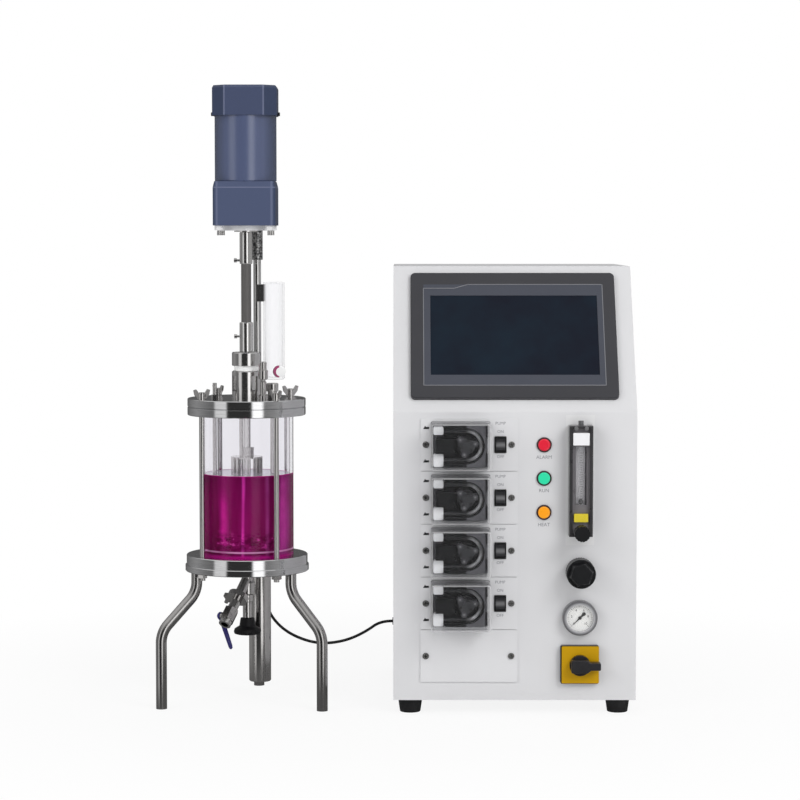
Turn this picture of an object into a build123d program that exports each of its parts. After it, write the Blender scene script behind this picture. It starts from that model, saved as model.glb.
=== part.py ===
from build123d import *
import os
from math import acos, atan2, cos, degrees, pi, radians, sin, tan

# A bench bioreactor in millimetres. +Z is up from the bench, the fronts face -Y, the stirred
# vessel stands at -X and its control cabinet at +X. The origin is on the bench, at the middle
# of the whole machine's outline.

os.makedirs("parts", exist_ok=True)

# ---------------------------------------------------------------- driving dimensions
# Cabinet
cabinet_width = 306.0
cabinet_depth = 345.0
cabinet_height = 563.5
crease_height = 382.3
slope_setback = 115.0
sheet = 1.5
bend_radius = 2.0
sheet_gap = 0.2
foot_height = 18.0
foot_radius = 15.5
foot_inset = 21.5

# Vessel, measured from its upright axis and from the bench
vessel_gap = 189.0
vessel_behind = 90.0
base_bottom = 172.0
base_lip = 8.5
base_thickness = 21.0
base_radius = 78.0
glass_radius = 60.0
glass_wall = 5.0
glass_seat = 3.0
glass_height = 180.0
flange_thickness = 10.7
flange_radius = 76.0
medium_depth = 108.0
fit_gap = 0.2

# Legs
leg_radius = 7.0
leg_top_reach = 70.0
leg_foot_reach = 119.0
leg_upper_bend = 147.0
leg_lower_bend = 98.0
leg_bend_radius = 32.0
leg_angles = (206.0, 326.0, 86.0)

# Pump modules on the cabinet's front
plate_width = 122.0
plate_pitch = 66.8
plate_gap = 0.8
plate_thick = 2.0
plate_left = 34.3
plate_top = 375.0
pump_count = 4
cover_width = 74.4
cover_height = 58.5
cover_depth = 43.0
cover_wall = 2.0
cover_left = 47.3
frame_thick = 5.0

# ---------------------------------------------------------------- frame of the whole machine
front_reach = plate_thick + frame_thick + cover_depth
vessel_reach = -leg_foot_reach * cos(radians(leg_angles[0])) + leg_radius
cabinet_left = (vessel_gap + vessel_reach - cabinet_width) / 2
front_y = (front_reach - cabinet_depth) / 2
rear_y = front_y + cabinet_depth
cabinet_mid = cabinet_left + cabinet_width / 2
vessel_x = cabinet_left - vessel_gap
vessel_y = front_y + vessel_behind
slope_angle = atan2(slope_setback, cabinet_height - crease_height)

slope = Plane(
    origin=(cabinet_left, front_y, crease_height),
    x_dir=(1, 0, 0),
    z_dir=(0, -cos(slope_angle), sin(slope_angle)),
)
slope_axis = Axis(slope.origin, slope.z_dir)


def on_front(across, height, proud=0.0):
    # A plane facing the operator, at a place on the cabinet's upright front
    origin = (cabinet_left + across, front_y - proud, height)
    return Plane(origin=origin, x_dir=(1, 0, 0), z_dir=(0, -1, 0))


def level(x, y, height):
    # A horizontal plane at a place measured from the vessel's axis
    return Plane(origin=(vessel_x + x, vessel_y + y, height))


def turned(x, y, outline, mode=Mode.ADD):
    # Turns an outline of (radius, height) points about an upright line near the vessel's axis
    origin = (vessel_x + x, vessel_y + y, 0)
    with BuildSketch(Plane(origin=origin, x_dir=(1, 0, 0), z_dir=(0, -1, 0))) as section:
        with BuildLine():
            Polyline(*outline, close=True)
        make_face()
    revolve(section.sketch, axis=Axis(origin, (0, 0, 1)), mode=mode)


def write(piece, name):
    piece.part.label = name
    export_step(piece.part, f"parts/{name}.step")


# ---------------------------------------------------------------- cabinet shell
mitre = sheet * tan(slope_angle / 2)
top_run = sheet / cos(slope_angle)
lamp_across = 189.3
lamp_heights = (341.3, 299.2, 256.2)
lamp_hole = 8.0
device_across = 234.6
meter_bottom = 227.5
meter_height = 139.0
regulator_height = 181.7
gauge_height = 123.6
switch_height = 64.3
hmi_width = 262.0
hmi_height = 184.0
hmi_up = 109.3
hmi_back_width = 240.0
hmi_back_height = 162.0
grommet_behind = 200.0
grommet_height = 88.0
grommet_neck = 4.5
window_width = 96.0
window_height = 50.0
gauge_radius = 22.0
gauge_back = 18.5
regulator_neck = 12.0
switch_neck = 11.0
meter_stud = 4.0

plate_mid = plate_left + plate_width / 2
plate_heights = [plate_top - plate_pitch * (k + 0.5) for k in range(pump_count + 1)]
meter_top = meter_bottom + meter_height

with BuildPart() as front_panel:
    with BuildSketch(Plane.YZ.offset(cabinet_left)):
        with BuildLine():
            Polyline(
                (front_y, foot_height),
                (front_y, crease_height),
                (front_y + slope_setback, cabinet_height),
                (front_y + slope_setback + top_run, cabinet_height),
                (front_y + sheet, crease_height - mitre),
                (front_y + sheet, foot_height),
                close=True,
            )
        make_face()
    extrude(amount=cabinet_width)
    inner_crease = front_panel.edges().filter_by(Axis.X).group_by(Axis.Z)[1]
    fillet(inner_crease, bend_radius)
    outer_crease = front_panel.edges().filter_by(Axis.X).group_by(Axis.Y)[0].sort_by(Axis.Z)[-1]
    fillet(outer_crease, bend_radius + sheet)
    with BuildSketch(on_front(0, 0)):
        with Locations(*[(plate_mid, h) for h in plate_heights]):
            Rectangle(window_width, window_height)
        with Locations(*[(lamp_across, h) for h in lamp_heights]):
            Circle(lamp_hole)
        with Locations((device_across, regulator_height)):
            Circle(regulator_neck + fit_gap)
        with Locations((device_across, gauge_height)):
            Circle(gauge_back + fit_gap)
        with Locations((device_across, switch_height)):
            Circle(switch_neck + fit_gap)
        with Locations((device_across, meter_bottom + 15), (device_across, meter_top - 12)):
            Circle(meter_stud + fit_gap)
    extrude(amount=-2 * sheet, mode=Mode.SUBTRACT)
    with BuildSketch(slope):
        with Locations((cabinet_width / 2, hmi_up)):
            Rectangle(hmi_back_width + 2 * fit_gap, hmi_back_height + 2 * fit_gap)
    extrude(amount=-2 * sheet, mode=Mode.SUBTRACT)
write(front_panel, "front_panel")

# The sides and the top are one sheet folded over the chassis, behind the front panel
with BuildPart() as cabinet_wrap:
    with BuildSketch(Plane.YZ.offset(cabinet_left)):
        with BuildLine():
            Polyline(
                (front_y + sheet, foot_height),
                (front_y + sheet, crease_height - mitre),
                (front_y + slope_setback + top_run, cabinet_height),
                (rear_y, cabinet_height),
                (rear_y, foot_height),
                close=True,
            )
        make_face()
    extrude(amount=cabinet_width)
    crease = cabinet_wrap.edges().filter_by(Axis.X).group_by(Axis.Y)[0].sort_by(Axis.Z)[-1]
    fillet(crease, bend_radius)
    corners = cabinet_wrap.edges().filter_by(Axis.Y).group_by(Axis.Z)[-1]
    fillet(corners, bend_radius)
    with BuildSketch(Plane.XZ.offset(-rear_y - 1)):
        with Locations((cabinet_mid, (cabinet_height - sheet) / 2)):
            Rectangle(cabinet_width - 2 * sheet, cabinet_height - sheet)
    extrude(amount=cabinet_depth + 2, mode=Mode.SUBTRACT)
    with BuildSketch(Plane.YZ.offset(cabinet_left)):
        with Locations((front_y + grommet_behind, grommet_height)):
            Circle(grommet_neck + fit_gap)
    extrude(amount=2 * sheet, mode=Mode.SUBTRACT)
write(cabinet_wrap, "cabinet_wrap")

vent_length = 70.0
vent_width = 5.0
vent_pitch = 13.0
vent_rows = 8

# The floor and the back are the other folded sheet
chassis_width = cabinet_width - 2 * sheet - 2 * sheet_gap
chassis_top = cabinet_height - sheet - sheet_gap
with BuildPart() as cabinet_chassis:
    with BuildSketch(Plane.YZ.offset(cabinet_mid - chassis_width / 2)):
        with BuildLine():
            Polyline(
                (front_y + sheet, foot_height),
                (rear_y, foot_height),
                (rear_y, chassis_top),
                (rear_y - sheet, chassis_top),
                (rear_y - sheet, foot_height + sheet),
                (front_y + sheet, foot_height + sheet),
                close=True,
            )
        make_face()
    extrude(amount=chassis_width)
    with BuildSketch(Plane.XZ.offset(-rear_y)):
        with Locations((cabinet_mid, cabinet_height * 0.6)):
            with GridLocations(vent_length * 1.4, vent_pitch, 2, vent_rows):
                SlotOverall(vent_length, vent_width)
    extrude(amount=2 * sheet, both=True, mode=Mode.SUBTRACT)
write(cabinet_chassis, "cabinet_chassis")

with BuildPart() as cabinet_feet:
    foot_spots = GridLocations(
        cabinet_width - 2 * foot_inset, cabinet_depth - 2 * foot_inset, 2, 2
    )
    with BuildSketch(Plane((cabinet_mid, (front_y + rear_y) / 2, foot_height))):
        with foot_spots:
            Circle(foot_radius)
    extrude(amount=-foot_height, taper=8)
    fillet(cabinet_feet.edges().filter_by(GeomType.CIRCLE).group_by(Axis.Z)[0], 1.5)
    with BuildSketch(Plane((cabinet_mid, (front_y + rear_y) / 2, 0))):
        with foot_spots:
            Circle(foot_radius * 0.4)
    extrude(amount=foot_height * 0.4, mode=Mode.SUBTRACT)
write(cabinet_feet, "cabinet_feet")

# ---------------------------------------------------------------- touch panel on the slope
bezel_thick = 6.0
bezel_corner = 6.0
hmi_back_depth = 34.0
display_width = 213.0
display_height = 116.0
display_up = 108.5
display_depth = 1.6
hmi_mid = (cabinet_width / 2, hmi_up)
display_mid = (cabinet_width / 2 + 1, display_up)

with BuildPart() as hmi_bezel:
    with BuildSketch(slope):
        with Locations(hmi_mid):
            RectangleRounded(hmi_width, hmi_height, bezel_corner)
    extrude(amount=bezel_thick)
    chamfer(hmi_bezel.faces().sort_by(slope_axis)[-1].edges(), 1.0)
    with BuildSketch(slope):
        with Locations(hmi_mid):
            Rectangle(hmi_back_width, hmi_back_height)
    extrude(amount=-hmi_back_depth)
    with BuildSketch(slope.offset(bezel_thick)):
        with Locations(display_mid):
            Rectangle(display_width + 2 * fit_gap, display_height + 2 * fit_gap)
    extrude(amount=-display_depth, mode=Mode.SUBTRACT)
write(hmi_bezel, "hmi_bezel")

with BuildPart() as hmi_display:
    with BuildSketch(slope.offset(bezel_thick - display_depth)):
        with Locations(display_mid):
            Rectangle(display_width, display_height)
    extrude(amount=display_depth - 0.6)
write(hmi_display, "hmi_display")

# ---------------------------------------------------------------- pump modules
rocker_across = 134.5
screw_across = (40.9, 148.5)
screw_head = 4.0
screw_proud = 2.2
motor_boss = 7.0
switch_width = 15.0
switch_tall = 21.0
switch_flange = 1.5
switch_body_width = 12.8
switch_body_tall = 18.6
switch_body_depth = 16.0

plate_spots = [(plate_mid, h) for h in plate_heights]
with BuildPart() as module_plates:
    with BuildSketch(on_front(0, 0)):
        with Locations(*plate_spots):
            RectangleRounded(plate_width, plate_pitch - plate_gap, 1.5)
    extrude(amount=plate_thick)
    with BuildSketch(on_front(0, 0)):
        with Locations(*[(cover_left + cover_width / 2 + 7, h) for h in plate_heights[:-1]]):
            Circle(motor_boss + fit_gap)
        with Locations(*[(rocker_across, h) for h in plate_heights[:-1]]):
            Rectangle(switch_body_width + 2 * fit_gap, switch_body_tall + 2 * fit_gap)
    extrude(amount=plate_thick, mode=Mode.SUBTRACT)
    with BuildSketch(on_front(0, 0, plate_thick)):
        with Locations(*[(a, h) for a in screw_across for h in plate_heights]):
            Circle(screw_head)
    extrude(amount=screw_proud)
    chamfer(module_plates.faces().sort_by(Axis.Y).group_by(Axis.Y)[0].edges(), 0.8)
    with BuildSketch(on_front(0, 0, plate_thick + screw_proud)):
        with Locations(*[(a, h) for a in screw_across for h in plate_heights]):
            Rectangle(4.4, 0.9)
            Rectangle(0.9, 4.4)
    extrude(amount=-1.2, mode=Mode.SUBTRACT)
write(module_plates, "module_plates")

# Inside each pump, across and up are measured from the clear cover's left edge and its middle
rotor_across = cover_width / 2 + 7
roller_pitch = 11.2
roller_radius = 4.4
tube_radius = 2.5
rotor_reach = roller_pitch + roller_radius
tube_run = rotor_reach + 0.4 + tube_radius
chamber_radius = tube_run + tube_radius + fit_gap
block_left = 15.8
block_right = 67.6
block_half = 25.8
block_depth = 22.0
chamber_depth = 18.0
wedge_left = 6.0
wedge_half = 9.5
shaft_radius = 3.0
shaft_play = 0.05
hinge_in = 2.6
hinge_rise = 3.0
knuckle_radius = 2.6
knuckle_gap = 0.3
heel_relief = 1.4
heel_width = 6.6
pin_radius = 1.3
knuckle_from = 10.0
knuckle_to = 24.0
motor_radius = 18.0
motor_length = 58.0
tube_height = 7.5
connector_from = 2.9
connector_to = 15.4
connector_depth = 12.0
connector_heights = (10.0, 16.0)
rotor_floor = 1.0
rotor_height = 15.0


def pump_plane(k, out=0.0):
    # The front of pump k's module plate, with x from the cover's left edge and y from its middle
    return on_front(cover_left, plate_heights[k], plate_thick + out)


def hinge_plane(k, offset=0.0):
    # A horizontal plane through pump k's cover, with its origin on the upright hinge axis
    x = cabinet_left + cover_left + cover_width - hinge_in
    y = front_y - plate_thick - frame_thick - hinge_rise
    return Plane(origin=(x, y, plate_heights[k] + offset))


with BuildPart() as pump_bodies:
    for k in range(pump_count):
        floor = frame_thick + block_depth - chamber_depth
        with BuildSketch(pump_plane(k)):
            with Locations((cover_width / 2, 0)):
                RectangleRounded(cover_width, cover_height, 2)
        extrude(amount=frame_thick)
        with BuildSketch(pump_plane(k, frame_thick)):
            with Locations((cover_width, 0)):
                Rectangle(2 * heel_width, cover_height)
        extrude(amount=-heel_relief, mode=Mode.SUBTRACT)
        web = hinge_rise + heel_relief
        for start in (knuckle_from, -knuckle_to):
            with BuildSketch(hinge_plane(k, start)):
                Circle(knuckle_radius)
                with Locations((0, web / 2)):
                    Rectangle(2 * knuckle_radius, web)
            extrude(amount=knuckle_to - knuckle_from)
        with BuildSketch(pump_plane(k, frame_thick)):
            with Locations(((block_left + block_right) / 2, 0)):
                RectangleRounded(block_right - block_left, 2 * block_half, 4)
        extrude(amount=block_depth)
        with BuildSketch(pump_plane(k, floor)):
            with Locations((rotor_across, 0)):
                Circle(chamber_radius)
            with Locations((rotor_across / 2, 0)):
                Rectangle(rotor_across, 2 * chamber_radius)
        extrude(amount=chamber_depth, mode=Mode.SUBTRACT)
        with BuildSketch(pump_plane(k, frame_thick)):
            with Locations(((wedge_left + rotor_across) / 2, 0)):
                Rectangle(rotor_across - wedge_left, 2 * wedge_half)
            with Locations((rotor_across, 0)):
                Circle(rotor_reach + 0.5, mode=Mode.SUBTRACT)
        extrude(amount=block_depth - 2)
        with BuildSketch(pump_plane(k)):
            with Locations((rotor_across, 0)):
                Circle(motor_boss)
        extrude(amount=-plate_thick - sheet)
        with BuildSketch(pump_plane(k, -plate_thick - sheet)):
            with Locations((rotor_across, 0)):
                Circle(motor_radius)
        extrude(amount=-motor_length)
        with BuildSketch(pump_plane(k, floor)):
            with Locations((rotor_across, 0)):
                Circle(shaft_radius + shaft_play)
        extrude(amount=-floor - 8, mode=Mode.SUBTRACT)
        with BuildSketch(hinge_plane(k, -cover_height / 2)):
            Circle(pin_radius + shaft_play)
        extrude(amount=cover_height, mode=Mode.SUBTRACT)
write(pump_bodies, "pump_bodies")

# The hose lies round the outside of the chamber between two white connectors
hose_height = frame_thick + block_depth - chamber_depth + tube_height
with BuildPart() as pump_tubing:
    for k in range(pump_count):
        plane = pump_plane(k, hose_height)
        with BuildLine(plane) as hose:
            Line((connector_to - 1, tube_run), (rotor_across, tube_run))
            CenterArc((rotor_across, 0), tube_run, 90, -180)
            Line((rotor_across, -tube_run), (connector_to - 1, -tube_run))
        start = plane.from_local_coords(Vector(connector_to - 1, tube_run, 0))
        with BuildSketch(Plane(origin=start, z_dir=(1, 0, 0))) as bore:
            Circle(tube_radius)
        sweep(bore.sketch, path=hose.wire())
        for side, tall in zip((1, -1), connector_heights):
            with BuildSketch(pump_plane(k, frame_thick + 0.5)):
                with Locations(((connector_from + connector_to) / 2, side * tube_run)):
                    RectangleRounded(connector_to - connector_from, tall, 2)
            extrude(amount=connector_depth - 0.5)
write(pump_tubing, "pump_tubing")

for k in range(pump_count):
    floor = frame_thick + block_depth - chamber_depth
    with BuildPart() as rotor:
        with BuildSketch(pump_plane(k, floor + rotor_floor)):
            with Locations((rotor_across, 0)):
                Circle(roller_pitch)
        extrude(amount=2)
        with BuildSketch(pump_plane(k, floor + rotor_floor)):
            with Locations((rotor_across, 0)):
                with PolarLocations(roller_pitch, 3, 15):
                    Circle(roller_radius)
        extrude(amount=rotor_height - 2)
        with BuildSketch(pump_plane(k, floor + rotor_floor + rotor_height - 2.5)):
            with Locations((rotor_across, 0)):
                with PolarLocations(roller_pitch, 3, 15):
                    Circle(roller_radius - 1.2)
            make_hull()
        extrude(amount=2.5)
        with BuildSketch(pump_plane(k, floor + rotor_floor)):
            with Locations((rotor_across, 0)):
                Circle(5.5)
        extrude(amount=rotor_height + 1.5)
        with BuildSketch(pump_plane(k, floor + rotor_floor)):
            with Locations((rotor_across, 0)):
                Circle(shaft_radius)
        extrude(amount=-floor - 6)
    write(rotor, f"pump_rotor_{k + 1}")

for k in range(pump_count):
    with BuildPart() as cover:
        with BuildSketch(pump_plane(k, frame_thick + fit_gap)):
            with Locations((cover_width / 2, 0)):
                RectangleRounded(cover_width, cover_height, 3)
        extrude(amount=cover_depth - fit_gap)
        fillet(cover.faces().sort_by(Axis.Y)[0].edges(), 1.5)
        with BuildSketch(pump_plane(k, frame_thick + fit_gap)):
            with Locations((cover_width / 2, 0)):
                Rectangle(cover_width - 2 * cover_wall, cover_height - 2 * cover_wall)
        extrude(amount=cover_depth - fit_gap - cover_wall, mode=Mode.SUBTRACT)
        with BuildSketch(pump_plane(k, frame_thick + fit_gap)):
            for side in (1, -1):
                with Locations((0, side * tube_run)):
                    Rectangle(2 * cover_wall + 1, 2 * tube_radius + 3)
        extrude(amount=14, mode=Mode.SUBTRACT)
        with BuildSketch(pump_plane(k, frame_thick + fit_gap)):
            for side in (1, -1):
                with Locations((cover_width, side * (knuckle_from + knuckle_to) / 2)):
                    Rectangle(2 * cover_wall + 2, knuckle_to - knuckle_from + 2 * knuckle_gap)
        extrude(amount=hinge_rise + knuckle_radius + knuckle_gap - fit_gap, mode=Mode.SUBTRACT)
        knuckle_half = knuckle_from - knuckle_gap
        with BuildSketch(hinge_plane(k, -knuckle_half)):
            Circle(knuckle_radius)
        extrude(amount=2 * knuckle_half)
        with BuildSketch(hinge_plane(k, -knuckle_to)):
            Circle(pin_radius)
        extrude(amount=2 * knuckle_to)
    write(cover, f"pump_cover_{k + 1}")

# ---------------------------------------------------------------- rocker switches
rocker_width = 11.0
rocker_pivot = 1.6
rocker_reach = 7.8
rocker_tilt = 9.0
rocker_crest = 2.0
rocker_pin = 1.0
pocket_depth = 11.0

with BuildPart() as switch_frames:
    with BuildSketch(on_front(0, 0, plate_thick)):
        with Locations(*[(rocker_across, h) for h in plate_heights[:-1]]):
            RectangleRounded(switch_width, switch_tall, 1)
    extrude(amount=switch_flange)
    with BuildSketch(on_front(0, 0, plate_thick)):
        with Locations(*[(rocker_across, h) for h in plate_heights[:-1]]):
            Rectangle(switch_body_width, switch_body_tall)
    extrude(amount=-switch_body_depth)
    with BuildSketch(on_front(0, 0, plate_thick + switch_flange)):
        with Locations(*[(rocker_across, h) for h in plate_heights[:-1]]):
            Rectangle(rocker_width + 2 * fit_gap, 2 * rocker_reach + 3 * fit_gap)
    extrude(amount=-pocket_depth, mode=Mode.SUBTRACT)
    pivot_y = front_y - plate_thick - switch_flange + rocker_pivot
    with BuildSketch(Plane.YZ.offset(cabinet_left + rocker_across)):
        with Locations(*[(pivot_y, h) for h in plate_heights[:-1]]):
            Circle(rocker_pin + shaft_play)
    extrude(amount=switch_body_width / 2, both=True, mode=Mode.SUBTRACT)
write(switch_frames, "switch_frames")

for k in range(pump_count):
    # Across this section, x runs outwards from the pivot and y runs up, tilted to one stop
    pivot = Plane(
        origin=(cabinet_left + rocker_across, pivot_y, plate_heights[k]),
        x_dir=(0, -cos(radians(rocker_tilt)), sin(radians(rocker_tilt))),
        z_dir=(-1, 0, 0),
    )
    with BuildPart() as rocker:
        with BuildSketch(pivot):
            Circle(rocker_reach)
            with BuildLine():
                Polyline(
                    (-6, -rocker_reach * 2),
                    (rocker_crest + 2 * rocker_reach * tan(radians(rocker_tilt)), -2 * rocker_reach),
                    (rocker_crest, 0),
                    (rocker_crest + 2 * rocker_reach * tan(radians(rocker_tilt)), 2 * rocker_reach),
                    (-6, 2 * rocker_reach),
                    close=True,
                )
            make_face(mode=Mode.INTERSECT)
        extrude(amount=rocker_width / 2, both=True)
        with BuildSketch(pivot):
            Circle(rocker_pin)
        extrude(amount=switch_body_width / 2 - 0.1, both=True)
    write(rocker, f"rocker_{k + 1}")

# ---------------------------------------------------------------- indicator lamps
lamp_radius = 9.5
lens_radius = 7.6

with BuildPart() as lamp_bezels:
    lamp_spots = Locations(*[(lamp_across, h) for h in lamp_heights])
    with BuildSketch(on_front(0, 0)):
        with lamp_spots:
            Circle(lamp_radius)
    extrude(amount=2.6)
    chamfer(lamp_bezels.faces().group_by(Axis.Y)[0].edges(), 0.8)
    with BuildSketch(on_front(0, 0)):
        with lamp_spots:
            Circle(lamp_hole - fit_gap)
    extrude(amount=-28)
    with BuildSketch(on_front(0, 0, 2.6)):
        with lamp_spots:
            Circle(lens_radius + 0.1)
    extrude(amount=-2, mode=Mode.SUBTRACT)
write(lamp_bezels, "lamp_bezels")

with BuildPart() as lamp_lenses:
    with BuildSketch(on_front(0, 0, 0.6)):
        with lamp_spots:
            Circle(lens_radius)
    extrude(amount=4)
    fillet(lamp_lenses.faces().group_by(Axis.Y)[0].edges(), 1.8)
write(lamp_lenses, "lamp_lenses")

# ---------------------------------------------------------------- flow meter
meter_width = 29.4
meter_depth = 22.0
recess_width = 21.6
recess_depth = 6.0
recess_end = 3.0
channel_width = 14.0
channel_depth = 19.0
channel_bottom = 267.0
channel_top = 340.2
plug_width = 20.4
plug_height = 15.5
plug_gap = 2.0
badge_width = 17.6
badge_height = 10.5
badge_bottom = 246.0
meter_tube_out = 14.0
meter_tube_radius = 5.5
meter_bore = 3.7
float_radius = 3.3
valve_height = 233.8
valve_knob_radius = 9.7
valve_knob_out = 28.0
valve_knob_length = 20.0
valve_stem = 3.0

with BuildPart() as flow_meter_block:
    with BuildSketch(on_front(device_across, meter_bottom + meter_height / 2)):
        Rectangle(meter_width, meter_height)
    extrude(amount=meter_depth)
    chamfer(flow_meter_block.faces().sort_by(Axis.Y)[0].edges(), 1.0)
    channel_mid = (channel_bottom + channel_top) / 2
    with BuildSketch(on_front(device_across, meter_bottom + meter_height / 2, meter_depth)):
        Rectangle(recess_width, meter_height - 2 * recess_end)
    extrude(amount=-recess_depth, mode=Mode.SUBTRACT)
    with BuildSketch(on_front(device_across, channel_mid, meter_depth)):
        Rectangle(channel_width, channel_top - channel_bottom)
    extrude(amount=-channel_depth, mode=Mode.SUBTRACT)
    with BuildSketch(on_front(device_across, 0, meter_depth - recess_depth)):
        with Locations((0, channel_top + plug_gap + plug_height / 2)):
            RectangleRounded(plug_width, plug_height, 1)
        with Locations((0, badge_bottom + badge_height / 2)):
            RectangleRounded(badge_width, badge_height, 1)
    extrude(amount=recess_depth - 0.5)
    with BuildSketch(on_front(device_across, meter_top - recess_end, meter_depth - recess_depth)):
        with GridLocations(13, 0, 2, 1):
            Circle(2.6)
    extrude(amount=recess_depth + 1)
    with BuildSketch(on_front(device_across, valve_height, meter_depth)):
        Circle(valve_stem + shaft_play)
    extrude(amount=-14, mode=Mode.SUBTRACT)
    with BuildSketch(on_front(device_across, 0)):
        with Locations((0, meter_bottom + 15), (0, meter_top - 12)):
            Circle(meter_stud)
    extrude(amount=-20)
    with BuildSketch(Plane((cabinet_left + device_across, front_y - 12, meter_top))):
        Circle(3.4)
    extrude(amount=6)
write(flow_meter_block, "flow_meter_block")

tube_spot = (cabinet_left + device_across, front_y - meter_tube_out, channel_bottom)
with BuildPart() as flow_meter_tube:
    with BuildSketch(Plane(tube_spot)):
        Circle(meter_tube_radius)
        Circle(meter_bore, mode=Mode.SUBTRACT)
    extrude(amount=channel_top - channel_bottom)
write(flow_meter_tube, "flow_meter_tube")

with BuildPart() as flow_float:
    with BuildSketch(Plane(tube_spot).offset(fit_gap)):
        Circle(1.6)
    extrude(amount=3)
    with Locations((tube_spot[0], tube_spot[1], channel_bottom + fit_gap + 0.5 + float_radius)):
        Sphere(float_radius)
write(flow_float, "flow_float")

with BuildPart() as flow_meter_knob:
    with BuildSketch(on_front(device_across, valve_height, valve_knob_out)):
        Circle(valve_knob_radius)
        with PolarLocations(valve_knob_radius + 0.8, 16):
            Circle(1.3, mode=Mode.SUBTRACT)
    extrude(amount=valve_knob_length)
    with BuildSketch(on_front(device_across, valve_height, valve_knob_out)):
        Circle(valve_stem)
    extrude(amount=-14)
write(flow_meter_knob, "flow_meter_knob")

# ---------------------------------------------------------------- pressure regulator
regulator_knob_radius = 18.2
regulator_knob_out = 6.0
regulator_knob_length = 34.0
regulator_grip = 10.0

with BuildPart() as regulator_body:
    with BuildSketch(on_front(device_across, regulator_height)):
        RegularPolygon(16, 6, rotation=30)
    extrude(amount=4)
    with BuildSketch(on_front(device_across, regulator_height, 4)):
        Circle(regulator_neck)
    extrude(amount=18)
    with BuildSketch(on_front(device_across, regulator_height)):
        Circle(regulator_neck)
    extrude(amount=-sheet)
    with BuildSketch(on_front(device_across, regulator_height, -sheet)):
        Circle(22)
    extrude(amount=-52)
write(regulator_body, "regulator_body")

with BuildPart() as regulator_knob:
    with BuildSketch(on_front(device_across, regulator_height, regulator_knob_out)):
        Circle(regulator_knob_radius)
    extrude(amount=regulator_knob_length - regulator_grip)
    with BuildSketch(on_front(device_across, regulator_height, regulator_knob_out)):
        with PolarLocations(regulator_knob_radius + 0.5, 36):
            Circle(0.9)
    extrude(amount=regulator_knob_length - regulator_grip - 3, mode=Mode.SUBTRACT)
    with BuildSketch(on_front(device_across, regulator_height, regulator_knob_out + regulator_knob_length
                              - regulator_grip)):
        RegularPolygon(regulator_knob_radius - 1.6, 6, rotation=12)
    extrude(amount=regulator_grip, taper=14)
    fillet(regulator_knob.faces().sort_by(Axis.Y)[0].edges(), 1.2)
    with BuildSketch(on_front(device_across, regulator_height, regulator_knob_out)):
        Circle(regulator_neck + shaft_play)
    extrude(amount=17, mode=Mode.SUBTRACT)
write(regulator_knob, "regulator_knob")

# ---------------------------------------------------------------- pressure gauge
gauge_proud = 13.0
dial_radius = 17.0
dial_out = 6.5
needle_out = 7.5
needle_angle = 225.0
needle_length = 12.5

with BuildPart() as gauge_case:
    with BuildSketch(on_front(device_across, gauge_height)):
        Circle(gauge_radius)
    extrude(amount=gauge_proud)
    fillet(gauge_case.faces().sort_by(Axis.Y)[0].edges(), 1.8)
    with BuildSketch(on_front(device_across, gauge_height, dial_out)):
        Circle(dial_radius)
    extrude(amount=gauge_proud, mode=Mode.SUBTRACT)
    with BuildSketch(on_front(device_across, gauge_height)):
        Circle(gauge_back)
    extrude(amount=-26)
    with BuildSketch(on_front(device_across, gauge_height, dial_out)):
        Circle(0.9)
    extrude(amount=-3, mode=Mode.SUBTRACT)
write(gauge_case, "gauge_case")

with BuildPart() as gauge_needle:
    aim = (cos(radians(needle_angle)), 0, sin(radians(needle_angle)))
    face = Plane(
        origin=on_front(device_across, gauge_height, needle_out).origin,
        x_dir=aim, z_dir=(0, -1, 0),
    )
    with BuildSketch(face):
        with BuildLine():
            Polyline((-6.5, 1.6), (-6.5, -1.6), (0, -0.8), (needle_length, -0.2),
                     (needle_length, 0.2), (0, 0.8), close=True)
        make_face()
        Circle(2.2)
        with Locations((-7, 0)):
            Circle(2.3)
    extrude(amount=0.8)
    with BuildSketch(face):
        Circle(0.85)
    extrude(amount=-3)
write(gauge_needle, "gauge_needle")

with BuildPart() as gauge_lens:
    with BuildSketch(on_front(device_across, gauge_height, gauge_proud - 2.4)):
        Circle(dial_radius - 0.05)
    extrude(amount=1.4)
write(gauge_lens, "gauge_lens")

# ---------------------------------------------------------------- main switch
switch_square = 48.5
switch_base_out = 8.0
switch_plate_out = 1.6
hub_radius = 13.0
switch_face = 46.8
lever_width = 16.4
lever_tip = 9.6
lever_reach = 25.5
spindle = 4.0

with BuildPart() as switch_base:
    with BuildSketch(on_front(device_across, switch_height)):
        RectangleRounded(switch_square, switch_square, 2.5)
    extrude(amount=switch_base_out)
    with BuildSketch(on_front(device_across, switch_height)):
        Circle(switch_neck)
    extrude(amount=-sheet)
    with BuildSketch(on_front(device_across, switch_height, -sheet)):
        Rectangle(44, 44)
    extrude(amount=-46)
    with BuildSketch(on_front(device_across, switch_height, switch_base_out)):
        Circle(spindle + shaft_play)
    extrude(amount=-7, mode=Mode.SUBTRACT)
write(switch_base, "switch_base")

with BuildPart() as switch_plate:
    with BuildSketch(on_front(device_across, switch_height, switch_base_out)):
        with Locations((0.7, 0)):
            RectangleRounded(switch_face, switch_face, 1.5)
        Circle(spindle + 1, mode=Mode.SUBTRACT)
    extrude(amount=switch_plate_out)
write(switch_plate, "switch_plate")

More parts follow.
